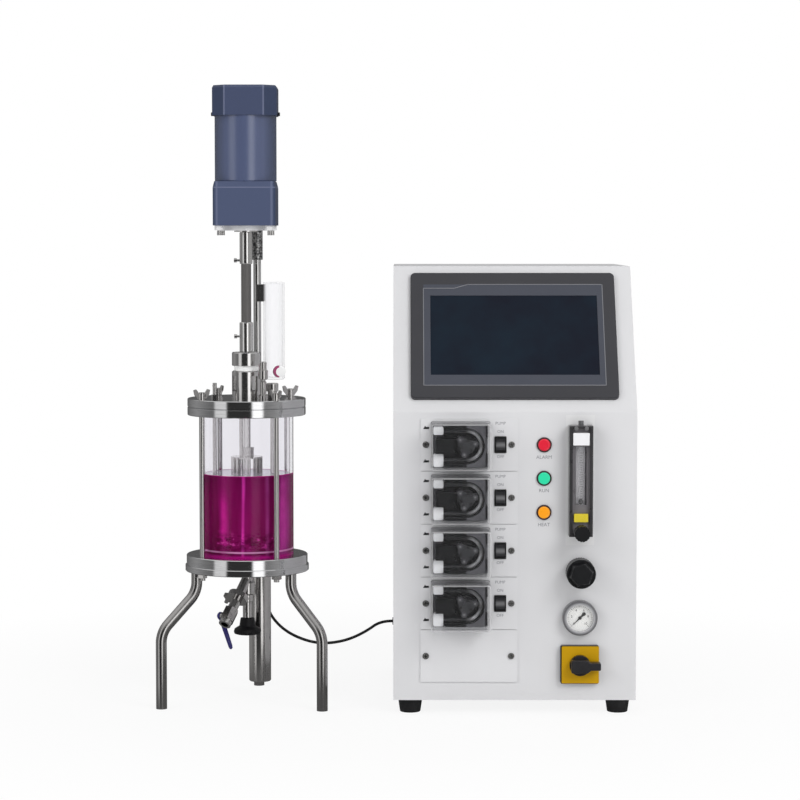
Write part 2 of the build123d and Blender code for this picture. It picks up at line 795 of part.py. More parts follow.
hub_out = switch_base_out + switch_plate_out + fit_gap
with BuildPart() as switch_handle:
    with BuildSketch(on_front(device_across, switch_height, hub_out)):
        Circle(hub_radius)
    extrude(amount=7)
    with BuildSketch(on_front(device_across, switch_height, hub_out + 3)):
        with BuildLine():
            Polyline((-hub_radius + 1.5, -lever_width / 2), (9, -lever_width / 2), (13, -lever_tip / 2),
                     (lever_reach, -lever_tip / 2), (lever_reach, lever_tip / 2), (13, lever_tip / 2),
                     (9, lever_width / 2), (-hub_radius + 1.5, lever_width / 2), close=True)
        make_face()
        fillet(vertices(), 1.8)
    extrude(amount=14)
    fillet(switch_handle.faces().sort_by(Axis.Y)[0].edges(), 1.5)
    with BuildSketch(on_front(device_across, switch_height, hub_out)):
        Circle(spindle)
    extrude(amount=-hub_out + 2.5)
write(switch_handle, "switch_handle")

# ---------------------------------------------------------------- vessel: base, glass and head
base_top = base_bottom + base_thickness
glass_bottom = base_top - glass_seat
glass_inner = glass_radius - glass_wall
ring_bottom = base_top + glass_height
ring_top = ring_bottom + flange_thickness
head_top = ring_top + flange_thickness
rod_radius = 3.5
rod_reach = 68.0
nut_radius = 6.5
leg_to_nut = 0.2
outlet_radius = 5.0
nut_spacing = leg_radius + leg_to_nut + nut_radius * cos(pi / 6)
rod_turn = acos((rod_reach**2 + leg_top_reach**2 - nut_spacing**2) / (2 * rod_reach * leg_top_reach))
rod_angle = leg_angles[0] - 180 + degrees(rod_turn)
rod_spots = PolarLocations(rod_reach, 4, rod_angle)
gland_place = (18.0, 62.0)
gland_radius = 4.5
gland_drop = 12.0

with BuildPart() as base_flange:
    rim = base_radius + 1.6
    turned(0, 0, [
        (0, base_bottom), (rim - 0.8, base_bottom), (rim, base_bottom + 0.8),
        (rim, base_bottom + base_lip - 0.8), (rim - 0.8, base_bottom + base_lip),
        (base_radius, base_bottom + base_lip), (base_radius, base_top - 0.8),
        (base_radius - 0.8, base_top), (glass_radius + fit_gap, base_top),
        (glass_radius + fit_gap, glass_bottom), (0, glass_bottom),
    ])
    with BuildSketch(level(0, 0, base_bottom)):
        Circle(outlet_radius)
        with rod_spots:
            Circle(rod_radius + fit_gap)
    extrude(amount=base_thickness, mode=Mode.SUBTRACT)
    with BuildSketch(level(*gland_place, base_bottom)):
        RegularPolygon(gland_radius + 1, 6)
    extrude(amount=-4)
    with BuildSketch(level(*gland_place, base_bottom)):
        Circle(gland_radius)
    extrude(amount=-gland_drop)
write(base_flange, "base_flange")

with BuildPart() as glass_cylinder:
    with BuildSketch(level(0, 0, glass_bottom)):
        Circle(glass_radius)
        Circle(glass_inner, mode=Mode.SUBTRACT)
    extrude(amount=glass_height + 2 * glass_seat)
write(glass_cylinder, "glass_cylinder")

# Tubes that dip into the culture inside the clamp ring's lip, as (x, y, radius, top) from the
# vessel's axis, worked out from (direction, distance inside the lip, radius, rise over the head)
ring_lip = 4.0
ring_bore = glass_inner - ring_lip
dip_bottom = 215.0
dips = []
for turn, inside, r, rise in (
    (199.29, 6.0, 2.6, 20.0),
    (334.8, 10.4, 3.0, 8.0),
    (102.2, 9.15, 4.0, 14.0),
):
    reach = ring_bore - inside - r
    dips.append((reach * cos(radians(turn)), reach * sin(radians(turn)), r, head_top + rise))

with BuildPart() as clamp_ring:
    seat = glass_radius + fit_gap
    turned(0, 0, [
        (ring_bore, ring_top), (ring_bore, ring_bottom + glass_seat),
        (seat, ring_bottom + glass_seat), (seat, ring_bottom),
        (flange_radius - 0.8, ring_bottom), (flange_radius, ring_bottom + 0.8),
        (flange_radius, ring_top - 1), (flange_radius - 1, ring_top),
    ])
    with BuildSketch(level(0, 0, ring_bottom)):
        with rod_spots:
            Circle(rod_radius + fit_gap)
    extrude(amount=flange_thickness, mode=Mode.SUBTRACT)
write(clamp_ring, "clamp_ring")

needle_valve = (23.0, -28.0)
column_place = (13.0, 21.0)
column_radius = 5.0
stirrer_radius = 5.0

with BuildPart() as head_plate:
    turned(0, 0, [
        (0, ring_top), (flange_radius - 1, ring_top), (flange_radius, ring_top + 1),
        (flange_radius, head_top - 0.8), (flange_radius - 0.8, head_top), (0, head_top),
    ])
    with BuildSketch(level(0, 0, ring_top)):
        Circle(stirrer_radius + 0.6)
        with rod_spots:
            Circle(rod_radius + fit_gap)
        for x, y, r, top in dips:
            with Locations((x, y)):
                Circle(r + 0.1)
    extrude(amount=flange_thickness, mode=Mode.SUBTRACT)
write(head_plate, "head_plate")

nut_thick = 5.5
stud_drop = 9.0
wing_hub = 5.0
wing_height = 8.0

with BuildPart() as tie_rods:
    with BuildSketch(level(0, 0, base_bottom - stud_drop)):
        with rod_spots:
            Circle(rod_radius)
    extrude(amount=head_top + wing_height + 1.5 - base_bottom + stud_drop)
    with BuildSketch(level(0, 0, base_bottom)):
        with rod_spots:
            RegularPolygon(nut_radius, 6)
    extrude(amount=-nut_thick)
    with BuildSketch(level(0, 0, head_top)):
        with rod_spots:
            Circle(wing_hub)
    extrude(amount=wing_height)
    for k in range(4):
        turn = radians(rod_angle + 90 * k)
        out = (cos(turn), sin(turn), 0)
        hub = level(rod_reach * cos(turn), rod_reach * sin(turn), head_top).origin
        with BuildSketch(Plane(origin=hub, x_dir=out, z_dir=(sin(turn), -cos(turn), 0))):
            for side in (1, -1):
                with BuildLine():
                    Polyline(
                        (side * 3.5, 2.0), (side * 5.5, 1.0), (side * 10.5, 6.5),
                        (side * 12.0, 12.5), (side * 8.5, 13.5), (side * 4.0, 7.5),
                        close=True,
                    )
                make_face()
        extrude(amount=1.3, both=True)
write(tie_rods, "tie_rods")

with BuildPart() as tripod_legs:
    for angle in leg_angles:
        out = (cos(radians(angle)), sin(radians(angle)), 0)
        side = Plane(
            origin=(vessel_x, vessel_y, 0), x_dir=out, z_dir=(out[1], -out[0], 0)
        )
        with BuildLine(side) as bend:
            FilletPolyline(
                (leg_top_reach, base_bottom),
                (leg_top_reach, leg_upper_bend),
                (leg_foot_reach, leg_lower_bend),
                (leg_foot_reach, 0),
                radius=leg_bend_radius,
            )
        with BuildSketch(Plane(side.from_local_coords(Vector(leg_top_reach, base_bottom, 0)))) as bar:
            Circle(leg_radius)
        sweep(bar.sketch, path=bend.wire())
write(tripod_legs, "tripod_legs")

# ---------------------------------------------------------------- stirrer and its drive
housing_radius = 18.7
housing_height = 59.0
lower_coupling_radius = 8.75
lower_coupling_length = 38.0
upper_coupling_radius = 8.25
upper_coupling_length = 40.7
shaft_tube_radius = 6.5
shaft_tube_length = 75.0
running_gap = 0.3
boss_radius = 15.0
boss_length = 8.1
seat_radius = 30.0
seat_thick = 6.5
gearbox_side = 80.0
gearbox_height = 56.0
motor_body_radius = 39.5
motor_body_length = 83.5
cowl_side = 82.0
cowl_chamfer = 16.0
cowl_height = 38.0
impeller_play = 0.05
sleeve_radius = 7.3

housing_top = head_top + housing_height
coupling_foot = housing_top + running_gap
tube_foot = coupling_foot + lower_coupling_length
tube_head = tube_foot + shaft_tube_length
coupling_head = tube_head + upper_coupling_length
boss_bottom = coupling_head + running_gap
gearbox_bottom = boss_bottom + boss_length
gearbox_top = gearbox_bottom + gearbox_height
cowl_bottom = gearbox_top + motor_body_length
cowl_top = cowl_bottom + cowl_height

with BuildPart() as bearing_housing:
    bore = stirrer_radius + shaft_play
    inner = housing_radius - 5.5
    turned(0, 0, [
        (bore, head_top), (housing_radius, head_top), (housing_radius, head_top + 34),
        (housing_radius - 3, head_top + 36), (housing_radius - 3, head_top + 41),
        (housing_radius, head_top + 42), (housing_radius, housing_top - 1),
        (housing_radius - 1, housing_top), (bore, housing_top), (bore, head_top + 33),
        (inner, head_top + 30), (inner, head_top + 8), (bore, head_top + 6),
    ])
    with BuildSketch(level(0, 0, head_top + 9)):
        with PolarLocations(housing_radius - 3, 4, -55):
            Rectangle(12, 11)
    extrude(amount=20, mode=Mode.SUBTRACT)
write(bearing_housing, "bearing_housing")

impeller_height = 214.0
breaker_height = 317.0
with BuildPart() as agitator_shaft:
    r1, r2, r3 = stirrer_radius, lower_coupling_radius, upper_coupling_radius
    turned(0, 0, [
        (0, impeller_height - 8), (r1 - 0.8, impeller_height - 8), (r1, impeller_height - 7.2),
        (r1, coupling_foot), (r2 - 0.8, coupling_foot), (r2, coupling_foot + 0.8),
        (r2, tube_foot - 0.8), (r2 - 0.8, tube_foot), (shaft_tube_radius, tube_foot),
        (shaft_tube_radius, tube_head), (r3 - 0.8, tube_head), (r3, tube_head + 0.8),
        (r3, coupling_head - 0.8), (r3 - 0.8, coupling_head), (r1, coupling_head),
        (r1, coupling_head + 9), (0, coupling_head + 9),
    ])
    for height in (coupling_foot + 20, tube_head + 4.5):
        with BuildSketch(Plane.YZ.offset(vessel_x)):
            with Locations((vessel_y, height)):
                Circle(1.5)
        extrude(amount=-12.5)
        with BuildSketch(Plane.YZ.offset(vessel_x - 12)):
            with Locations((vessel_y, height)):
                Circle(2.7)
        extrude(amount=-3.5)
write(agitator_shaft, "agitator_shaft")

turbine_gap = 23.5
turbine_reach = glass_inner - turbine_gap
turbine_blade = 15.5
turbine_disc = turbine_reach - 8.5
turbine_hub = 9.0
turbine_blades = 6
blade_height = 13.0
blade_thick = 1.6
breaker_reach = 20.5
breaker_hub = 9.2
breaker_blades = 8
breaker_drop = 26.0

with BuildPart() as impellers:
    with BuildSketch(level(0, 0, impeller_height - 7)):
        Circle(turbine_hub)
    extrude(amount=14)
    with BuildSketch(level(0, 0, impeller_height - 1)):
        Circle(turbine_disc)
    extrude(amount=2)
    with BuildSketch(level(0, 0, impeller_height - blade_height / 2)):
        with PolarLocations(turbine_reach - turbine_blade / 2, turbine_blades, 10):
            Rectangle(turbine_blade, blade_thick)
    extrude(amount=blade_height)
    with BuildSketch(level(0, 0, breaker_height)):
        Circle(breaker_hub)
    extrude(amount=14)
    with BuildSketch(level(0, 0, breaker_height)):
        Circle(breaker_reach)
    extrude(amount=2)
    with BuildSketch(level(0, 0, breaker_height - breaker_drop)):
        with PolarLocations(breaker_reach - 3.2, breaker_blades, 12):
            Rectangle(6, blade_thick)
    extrude(amount=breaker_drop)
    with BuildSketch(level(0, 0, impeller_height - 8)):
        Circle(stirrer_radius + impeller_play)
    extrude(amount=breaker_height - impeller_height + 30, mode=Mode.SUBTRACT)
write(impellers, "impellers")

stud_reach = gearbox_side / 2 - 8
with BuildPart() as gearbox:
    with BuildSketch(level(0, 0, gearbox_bottom)):
        RectangleRounded(gearbox_side, gearbox_side, 5)
    extrude(amount=gearbox_height)
    lid = gearbox.faces().sort_by(Axis.Z)[-1]
    chamfer(lid.edges(), 2.0, 8.0, reference=lid)
    with BuildSketch(level(0, 0, gearbox_bottom)):
        Circle(seat_radius)
        with Locations(column_place):
            Circle(sleeve_radius + fit_gap, mode=Mode.SUBTRACT)
    extrude(amount=-seat_thick)
    with BuildSketch(level(0, 0, gearbox_bottom)):
        Circle(boss_radius)
    extrude(amount=-boss_length)
    with BuildSketch(level(0, 0, gearbox_bottom)):
        with GridLocations(2 * stud_reach, 2 * stud_reach, 2, 2):
            RegularPolygon(6, 6)
    extrude(amount=-6)
    with BuildSketch(level(0, 0, gearbox_bottom)):
        with GridLocations(2 * stud_reach, 2 * stud_reach, 2, 2):
            Circle(2.8)
    extrude(amount=-12.5)
    with BuildSketch(level(0, 0, boss_bottom)):
        Circle(stirrer_radius + shaft_play)
    extrude(amount=12, mode=Mode.SUBTRACT)
write(gearbox, "gearbox")

with BuildPart() as motor_body:
    with BuildSketch(level(0, 0, gearbox_top)):
        Circle(motor_body_radius)
    extrude(amount=motor_body_length)
    chamfer(motor_body.faces().sort_by(Axis.Z)[0].edges(), 1.0)
write(motor_body, "motor_body")

vent_slots = 7
cowl_wall = 2.5
with BuildPart() as fan_cowl:
    with BuildSketch(level(0, 0, cowl_bottom)):
        Rectangle(cowl_side, cowl_side)
        chamfer(vertices(), cowl_chamfer)
    extrude(amount=cowl_height)
    lid = fan_cowl.faces().sort_by(Axis.Z)[-1]
    chamfer(lid.edges(), 1.8, 3.2, reference=lid)
    with BuildSketch(level(0, 0, cowl_bottom + 6)):
        Rectangle(cowl_side - 2 * cowl_wall, cowl_side - 2 * cowl_wall)
        chamfer(vertices(), cowl_chamfer)
    extrude(amount=cowl_height - 6 - cowl_wall, mode=Mode.SUBTRACT)
    with BuildSketch(level(0, 0, cowl_top)):
        with GridLocations(0, 8, 1, vent_slots):
            SlotOverall(46, 3.5)
    extrude(amount=-2 * cowl_wall, mode=Mode.SUBTRACT)
    with BuildSketch(Plane.YZ.offset(vessel_x)):
        with Locations((vessel_y, cowl_bottom + 2.4)):
            Circle(2.4)
    extrude(amount=cowl_side / 2 + 3, both=True)
write(fan_cowl, "fan_cowl")

sleeve_length = 44.0
trap_place = (34.5, 20.0)
trap_radius = 14.0
trap_wall = 2.0
trap_bottom = 417.0
trap_height = 126.0
port_turn = 20.0
port_radius = 7.5
port_length = 10.8
clamp_height = 518.0
clamp_tall = 22.0

with BuildPart() as support_column:
    with BuildSketch(level(*column_place, head_top)):
        Circle(column_radius)
    extrude(amount=gearbox_bottom - head_top)
    with BuildSketch(level(*column_place, gearbox_bottom)):
        Circle(sleeve_radius)
    extrude(amount=-sleeve_length)
    with BuildSketch(level(*column_place, clamp_height)):
        with Locations((5.5, 0)):
            RectangleRounded(15, 15, 2)
        with Locations((trap_place[0] - column_place[0], trap_place[1] - column_place[1])):
            Circle(trap_radius + fit_gap, mode=Mode.SUBTRACT)
    extrude(amount=clamp_tall)
write(support_column, "support_column")

with BuildPart() as exhaust_trap:
    inner = trap_radius - trap_wall
    top = trap_bottom + trap_height
    turned(*trap_place, [
        (0, trap_bottom), (trap_radius - 2, trap_bottom), (trap_radius, trap_bottom + 2),
        (trap_radius, top), (4, top), (4, top - trap_wall), (inner, top - trap_wall),
        (inner, trap_bottom + 3), (0, trap_bottom + 3),
    ])
    aim = (sin(radians(port_turn)), -cos(radians(port_turn)), 0)
    port = Plane(
        origin=(vessel_x + trap_place[0] + 5, vessel_y + trap_place[1] - 9, trap_bottom + 11),
        x_dir=(-aim[1], aim[0], 0), z_dir=aim,
    )
    with BuildSketch(port):
        Circle(port_radius)
    extrude(amount=port_length)
    with BuildSketch(port.offset(port_length)):
        Circle(port_radius - 1.3)
    extrude(amount=0.6)
    with BuildSketch(level(*trap_place, trap_bottom + 3)):
        Circle(inner)
    extrude(amount=trap_height - 3 - trap_wall, mode=Mode.SUBTRACT)
write(exhaust_trap, "exhaust_trap")

with BuildPart() as dip_tubes:
    for x, y, r, top in dips:
        with BuildSketch(level(x, y, dip_bottom)):
            Circle(r)
            Circle(r - 1, mode=Mode.SUBTRACT)
        extrude(amount=top - dip_bottom)
write(dip_tubes, "dip_tubes")

with BuildPart() as head_fittings:
    for (x, y, r, top), size in zip(dips, (4.6, 7.75, 7.0)):
        with BuildSketch(level(x, y, head_top)):
            RegularPolygon(size, 6)
            Circle(r + 0.1, mode=Mode.SUBTRACT)
        extrude(amount=5)
    x, y, r, top = dips[1]
    turned(x, y, [
        (r + 0.1, head_top + 5), (6.2, head_top + 5), (6.2, head_top + 9), (7.75, head_top + 10),
        (7.75, head_top + 19), (6.75, head_top + 20), (0, head_top + 20), (0, top + fit_gap),
        (r + 0.1, top + fit_gap),
    ])
    x, y, r, top = dips[2]
    turned(x, y, [
        (r + 0.1, head_top + 5), (6, head_top + 5), (6, head_top + 12), (r + 0.1, head_top + 12),
    ])
    turned(*needle_valve, [
        (0, head_top), (6, head_top), (6, head_top + 5), (4.2, head_top + 6),
        (4.2, head_top + 22), (3, head_top + 23), (3, head_top + 25), (6, head_top + 26),
        (6, head_top + 37), (4.4, head_top + 38), (4.4, head_top + 47), (3.4, head_top + 48),
        (0, head_top + 48),
    ])
write(head_fittings, "head_fittings")

# The culture stands round the stirrer, whose sweep it leaves free
medium_top = glass_bottom + medium_depth
sweep_gap = 0.8
with BuildPart() as culture_medium:
    wet = glass_inner - 0.1
    low = impeller_height - blade_height / 2 - sweep_gap - 2
    high = impeller_height + blade_height / 2 + sweep_gap + 1
    breaker_low = breaker_height - breaker_drop - sweep_gap
    turned(0, 0, [
        (0, glass_bottom), (wet, glass_bottom), (wet, medium_top),
        (breaker_reach + sweep_gap, medium_top), (breaker_reach + sweep_gap, breaker_low),
        (stirrer_radius + sweep_gap, breaker_low), (stirrer_radius + sweep_gap, high),
        (turbine_reach + sweep_gap, high), (turbine_reach + sweep_gap, low), (0, low),
    ])
    with BuildSketch(level(0, 0, dip_bottom - 1)):
        for x, y, r, top in dips:
            with Locations((x, y)):
                Circle(r + 0.1)
    extrude(amount=medium_depth, mode=Mode.SUBTRACT)
write(culture_medium, "culture_medium")

# ---------------------------------------------------------------- under the vessel
heater_place = (14.0, 40.0)
heater_radius = 14.4
heater_bottom = 20.0
branch_height = 161.0
branch_turn = 240.5
branch_radius = 6.5
ferrule_radius = 11.0
clamp_at = 29.0
ball_at = 63.0
branch_end = 76.0
handle_bottom = 88.0
handle_top = 109.0
bonnet_radius = 6.0
stem_radius = 4.0

heading = (cos(radians(branch_turn)), sin(radians(branch_turn)))
dive = cos(radians(45))
branch = Plane(
    origin=(vessel_x, vessel_y, branch_height),
    x_dir=(-heading[1], heading[0], 0),
    z_dir=(heading[0] * dive, heading[1] * dive, -dive),
)

with BuildPart() as heater_housing:
    turned(*heater_place, [
        (0, heater_bottom), (heater_radius - 1.2, heater_bottom),
        (heater_radius, heater_bottom + 1.2), (heater_radius, base_bottom), (0, base_bottom),
    ])
write(heater_housing, "heater_housing")

with BuildPart() as harvest_valve:
    turned(0, 0, [
        (0, branch_height - 4), (0, base_bottom), (9, base_bottom), (9, base_bottom - 4),
        (7.5, base_bottom - 5), (7.5, branch_height - 3), (9.5, branch_height - 6),
        (9.5, branch_height - 20), (7, branch_height - 22), (7, branch_height - 30),
        (bonnet_radius, branch_height - 31), (bonnet_radius, handle_top + 1),
        (stem_radius + shaft_play, handle_top + 1), (stem_radius + shaft_play, branch_height - 12),
        (0, branch_height - 12),
    ])
    with BuildSketch(branch):
        Circle(branch_radius)
    extrude(amount=clamp_at)
    with BuildSketch(branch.offset(clamp_at)):
        Circle(ferrule_radius)
    extrude(amount=2.8)
write(harvest_valve, "harvest_valve")

lever_out = 11.0
lever_long = 52.0
lever_turn = 16.6
lever_pin = 2.0
outlet_depth = 20.0
stem = Plane(origin=branch.from_local_coords(Vector(0, 0, ball_at)), z_dir=-branch.x_dir)

with BuildPart() as drain_branch:
    with BuildSketch(branch.offset(clamp_at + 2.8)):
        Circle(ferrule_radius)
    extrude(amount=2.8)
    with BuildSketch(branch.offset(clamp_at - 0.6)):
        Circle(ferrule_radius + 2.6)
        Circle(ferrule_radius + 0.1, mode=Mode.SUBTRACT)
    extrude(amount=6.8)
    with BuildSketch(branch.offset(clamp_at + 4.6)):
        Circle(ferrule_radius + 1)
    extrude(amount=1.6)
    with BuildSketch(branch.offset(clamp_at + 0.2)):
        with Locations((-ferrule_radius - 4.5, 0)):
            RectangleRounded(8, 9, 1)
    extrude(amount=5.2)
    with BuildSketch(branch.offset(clamp_at + 0.8)):
        with Locations((-ferrule_radius - 6, -5)):
            Rectangle(3, 7)
        with Locations((-ferrule_radius - 6, -9)):
            Rectangle(12, 3)
        with Locations((-ferrule_radius - 11.5, -11), (-ferrule_radius - 0.5, -11)):
            Circle(2.6)
    extrude(amount=4)
    with BuildSketch(branch.offset(clamp_at + 5)):
        Circle(branch_radius)
    extrude(amount=ball_at - clamp_at - 10)
    with BuildSketch(branch.offset(ball_at - 11)):
        RegularPolygon(9.6, 6)
    extrude(amount=18)
    with BuildSketch(branch.offset(ball_at + 6)):
        Circle(8)
    extrude(amount=branch_end - ball_at - 6)
    with BuildSketch(stem):
        Circle(4.5)
    extrude(amount=lever_out - 0.5)
    with BuildSketch(stem):
        Circle(lever_pin + shaft_play)
    extrude(amount=lever_out, mode=Mode.SUBTRACT)
    with BuildSketch(branch.offset(branch_end)):
        Circle(outlet_radius)
    extrude(amount=-outlet_depth, mode=Mode.SUBTRACT)
write(drain_branch, "drain_branch")

lever_plane = Plane(
    origin=branch.from_local_coords(Vector(-lever_out, 0, ball_at)),
    x_dir=branch.z_dir * sin(radians(lever_turn)) - branch.y_dir * cos(radians(lever_turn)),
    z_dir=-branch.x_dir,
)
with BuildPart() as ball_valve_lever:
    with BuildSketch(lever_plane):
        Circle(5)
        with BuildLine():
            Polyline((0, -3.6), (lever_long - 4, -2.7), (lever_long, -1.6), (lever_long, 1.6),
                     (lever_long - 4, 2.7), (0, 3.6), close=True)
        make_face()
    extrude(amount=2.6)
    with BuildSketch(lever_plane):
        Circle(lever_pin)
    extrude(amount=-lever_out + outlet_radius + 0.5)
    with BuildSketch(lever_plane.offset(2.6)):
        RegularPolygon(3.4, 6)
    extrude(amount=2)
write(ball_valve_lever, "ball_valve_lever")

with BuildPart() as harvest_handwheel:
    turned(0, 0, [
        (0, handle_bottom + 1), (14, handle_bottom), (17, handle_bottom + 1),
        (18, handle_bottom + 4), (17, handle_bottom + 7), (10.5, handle_bottom + 11),
        (9.5, handle_top - 3), (8.8, handle_top), (stem_radius, handle_top),
        (stem_radius, branch_height - 14), (0, branch_height - 14),
    ])
    with BuildSketch(level(0, 0, handle_bottom - 1)):
        with PolarLocations(21.2, 6):
            Circle(5.4)
    extrude(amount=14, mode=Mode.SUBTRACT)
write(harvest_handwheel, "harvest_handwheel")

# ---------------------------------------------------------------- sensor cable
cable_radius = 1.9
grommet_out = 1.6
wall = Plane(
    origin=(cabinet_left, front_y + grommet_behind, grommet_height),
    x_dir=(0, 1, 0), z_dir=(-1, 0, 0),
)
with BuildPart() as cable_grommet:
    with BuildSketch(wall):
        Circle(5.2)
    extrude(amount=grommet_out)
    fillet(cable_grommet.faces().sort_by(Axis.X)[0].edges(), 1.0)
    with BuildSketch(wall):
        Circle(grommet_neck)
    extrude(amount=-sheet - fit_gap)
    with BuildSketch(wall.offset(-sheet - fit_gap)):
        Circle(6.5)
    extrude(amount=-2)
write(cable_grommet, "cable_grommet")

# The cable's points, from the vessel's axis and the bench: out of the gland under the base,
# down behind the housing, and up to the grommet in the cabinet's side
cable_points = [
    (gland_place[0], gland_place[1], base_bottom - gland_drop),
    (gland_place[0], gland_place[1], 142.0),
    (20.5, 63.0, 119.0),
    (29.0, 66.0, 98.0),
    (48.0, 70.0, 79.0),
    (75.0, 76.0, 66.0),
    (100.0, 81.0, 62.0),
    (128.0, 90.0, 65.5),
    (152.5, 101.0, 75.5),
    (171.5, grommet_behind - vessel_behind, grommet_height),
    (vessel_gap - grommet_out, grommet_behind - vessel_behind, grommet_height),
]
stops = [Vector(vessel_x + x, vessel_y + y, z) for x, y, z in cable_points]
runs = [b - a for a, b in zip(stops, stops[1:])]
turns = [radians(a.get_angle(b)) for a, b in zip(runs, runs[1:])]
bends = [
    0.45 * min(a.length, b.length) / tan(turn / 2) for a, b, turn in zip(runs, runs[1:], turns)
]
with BuildPart() as sensor_cable:
    with BuildLine() as route:
        FilletPolyline(*stops, radius=bends)
    with BuildSketch(Plane(origin=stops[0], z_dir=runs[0])) as strand:
        Circle(cable_radius)
    sweep(strand.sketch, path=route.wire())
write(sensor_cable, "sensor_cable")

cable_length = route.wire().length
print("cable runs", [round(run.length, 1) for run in runs])
print("cable turns", [round(degrees(turn), 1) for turn in turns])
print("cable radii", [round(bend, 1) for bend in bends])
print("cable length", round(cable_length, 1))
print("cable volume ratio", round(sensor_cable.part.volume / (pi * cable_radius**2 * cable_length), 4))
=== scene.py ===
import math
import bmesh
import bpy
from mathutils import Matrix, Vector


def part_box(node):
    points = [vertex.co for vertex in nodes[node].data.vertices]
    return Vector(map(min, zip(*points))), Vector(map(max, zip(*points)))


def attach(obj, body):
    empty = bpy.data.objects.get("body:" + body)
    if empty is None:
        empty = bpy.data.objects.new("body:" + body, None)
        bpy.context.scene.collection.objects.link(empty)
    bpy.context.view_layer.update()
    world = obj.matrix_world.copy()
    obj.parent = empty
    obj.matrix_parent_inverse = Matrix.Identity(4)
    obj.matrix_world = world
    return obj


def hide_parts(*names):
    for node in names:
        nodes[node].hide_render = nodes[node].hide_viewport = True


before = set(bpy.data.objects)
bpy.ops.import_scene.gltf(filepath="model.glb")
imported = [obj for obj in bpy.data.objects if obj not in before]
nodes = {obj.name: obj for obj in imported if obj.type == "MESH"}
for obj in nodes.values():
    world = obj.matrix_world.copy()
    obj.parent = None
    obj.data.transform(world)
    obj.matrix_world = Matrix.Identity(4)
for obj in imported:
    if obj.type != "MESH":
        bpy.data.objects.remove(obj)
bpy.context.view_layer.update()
print("frame loaded, nodes:", len(nodes))

rootBody = "main_assembly"
left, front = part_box("front_panel")[0].x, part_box("front_panel")[0].y


def centreOf(node):
    low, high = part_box(node)
    return (low + high) / 2


# a long lens from the front, tilted a little down
camera = {"at": (0.007, -3.3395, 0.6073), "tilt": 3.76, "lens": 114.93, "sensor": 36.0, "reach": 60.0}
cameraData = bpy.data.cameras.new("camera")
cameraData.lens = camera["lens"]
cameraData.sensor_width = camera["sensor"]
cameraData.clip_end = camera["reach"]
cameraObject = bpy.data.objects.new("camera", cameraData)
cameraObject.location = camera["at"]
cameraObject.rotation_euler = (math.radians(90 - camera["tilt"]), 0, 0)
bpy.context.collection.objects.link(cameraObject)
bpy.context.scene.camera = cameraObject
bpy.context.scene.view_settings.view_transform = "Standard"

vesselAxis = centreOf("glass_cylinder")

# the cable's points are millimetres from the vessel's axis, and from the floor upwards
cable = {
    "radius": 0.0019,
    "length": 0.2444,
    "points": [(18, 62, 160), (18, 62, 142), (20.5, 63, 119), (29, 66, 98), (48, 70, 79), (75, 76, 66),
               (100, 81, 62), (128, 90, 65.5), (152.5, 101, 75.5), (171.5, 110, 88), (187.4, 110, 88)],
}


def makeCable():
    curve = bpy.data.curves.new("sensorCable", "CURVE")
    curve.dimensions = "3D"
    curve.bevel_depth = 1.0
    curve.bevel_resolution = 6
    curve.use_fill_caps = True
    spline = curve.splines.new("NURBS")
    spline.points.add(len(cable["points"]) - 1)
    for point, (x, y, z) in zip(spline.points, cable["points"]):
        point.co = (vesselAxis.x + x / 1000, vesselAxis.y + y / 1000, z / 1000, 1)
        point.radius = cable["radius"]  # the curve's box takes this radius, so it isn't left at 1 m
    spline.order_u = 3
    spline.use_endpoint_u = True
    spline.resolution_u = 12
    piece = bpy.data.objects.new("sensorCable", curve)
    bpy.context.collection.objects.link(piece)
    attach(piece, rootBody)
    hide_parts("sensor_cable")
    x, y, z = cable["points"][0]
    return piece


cablePiece = makeCable()
print("camera and cable placed")


# a wrapped socket: an expression on it adds Math nodes
class Wire:
    def __init__(self, paint, socket):
        self.paint, self.socket = paint, socket

    def __add__(self, other):
        return self.paint.maths("ADD", self, other)

    def __radd__(self, other):
        return self.paint.maths("ADD", other, self)

    def __sub__(self, other):
        return self.paint.maths("SUBTRACT", self, other)

    def __rsub__(self, other):
        return self.paint.maths("SUBTRACT", other, self)

    def __mul__(self, other):
        return self.paint.maths("MULTIPLY", self, other)

    def __truediv__(self, other):
        return self.paint.maths("DIVIDE", self, other)

    def __abs__(self):
        return self.paint.maths("ABSOLUTE", self)

    def __gt__(self, other):
        return self.paint.maths("GREATER_THAN", self, other)

    def __lt__(self, other):
        return self.paint.maths("LESS_THAN", self, other)


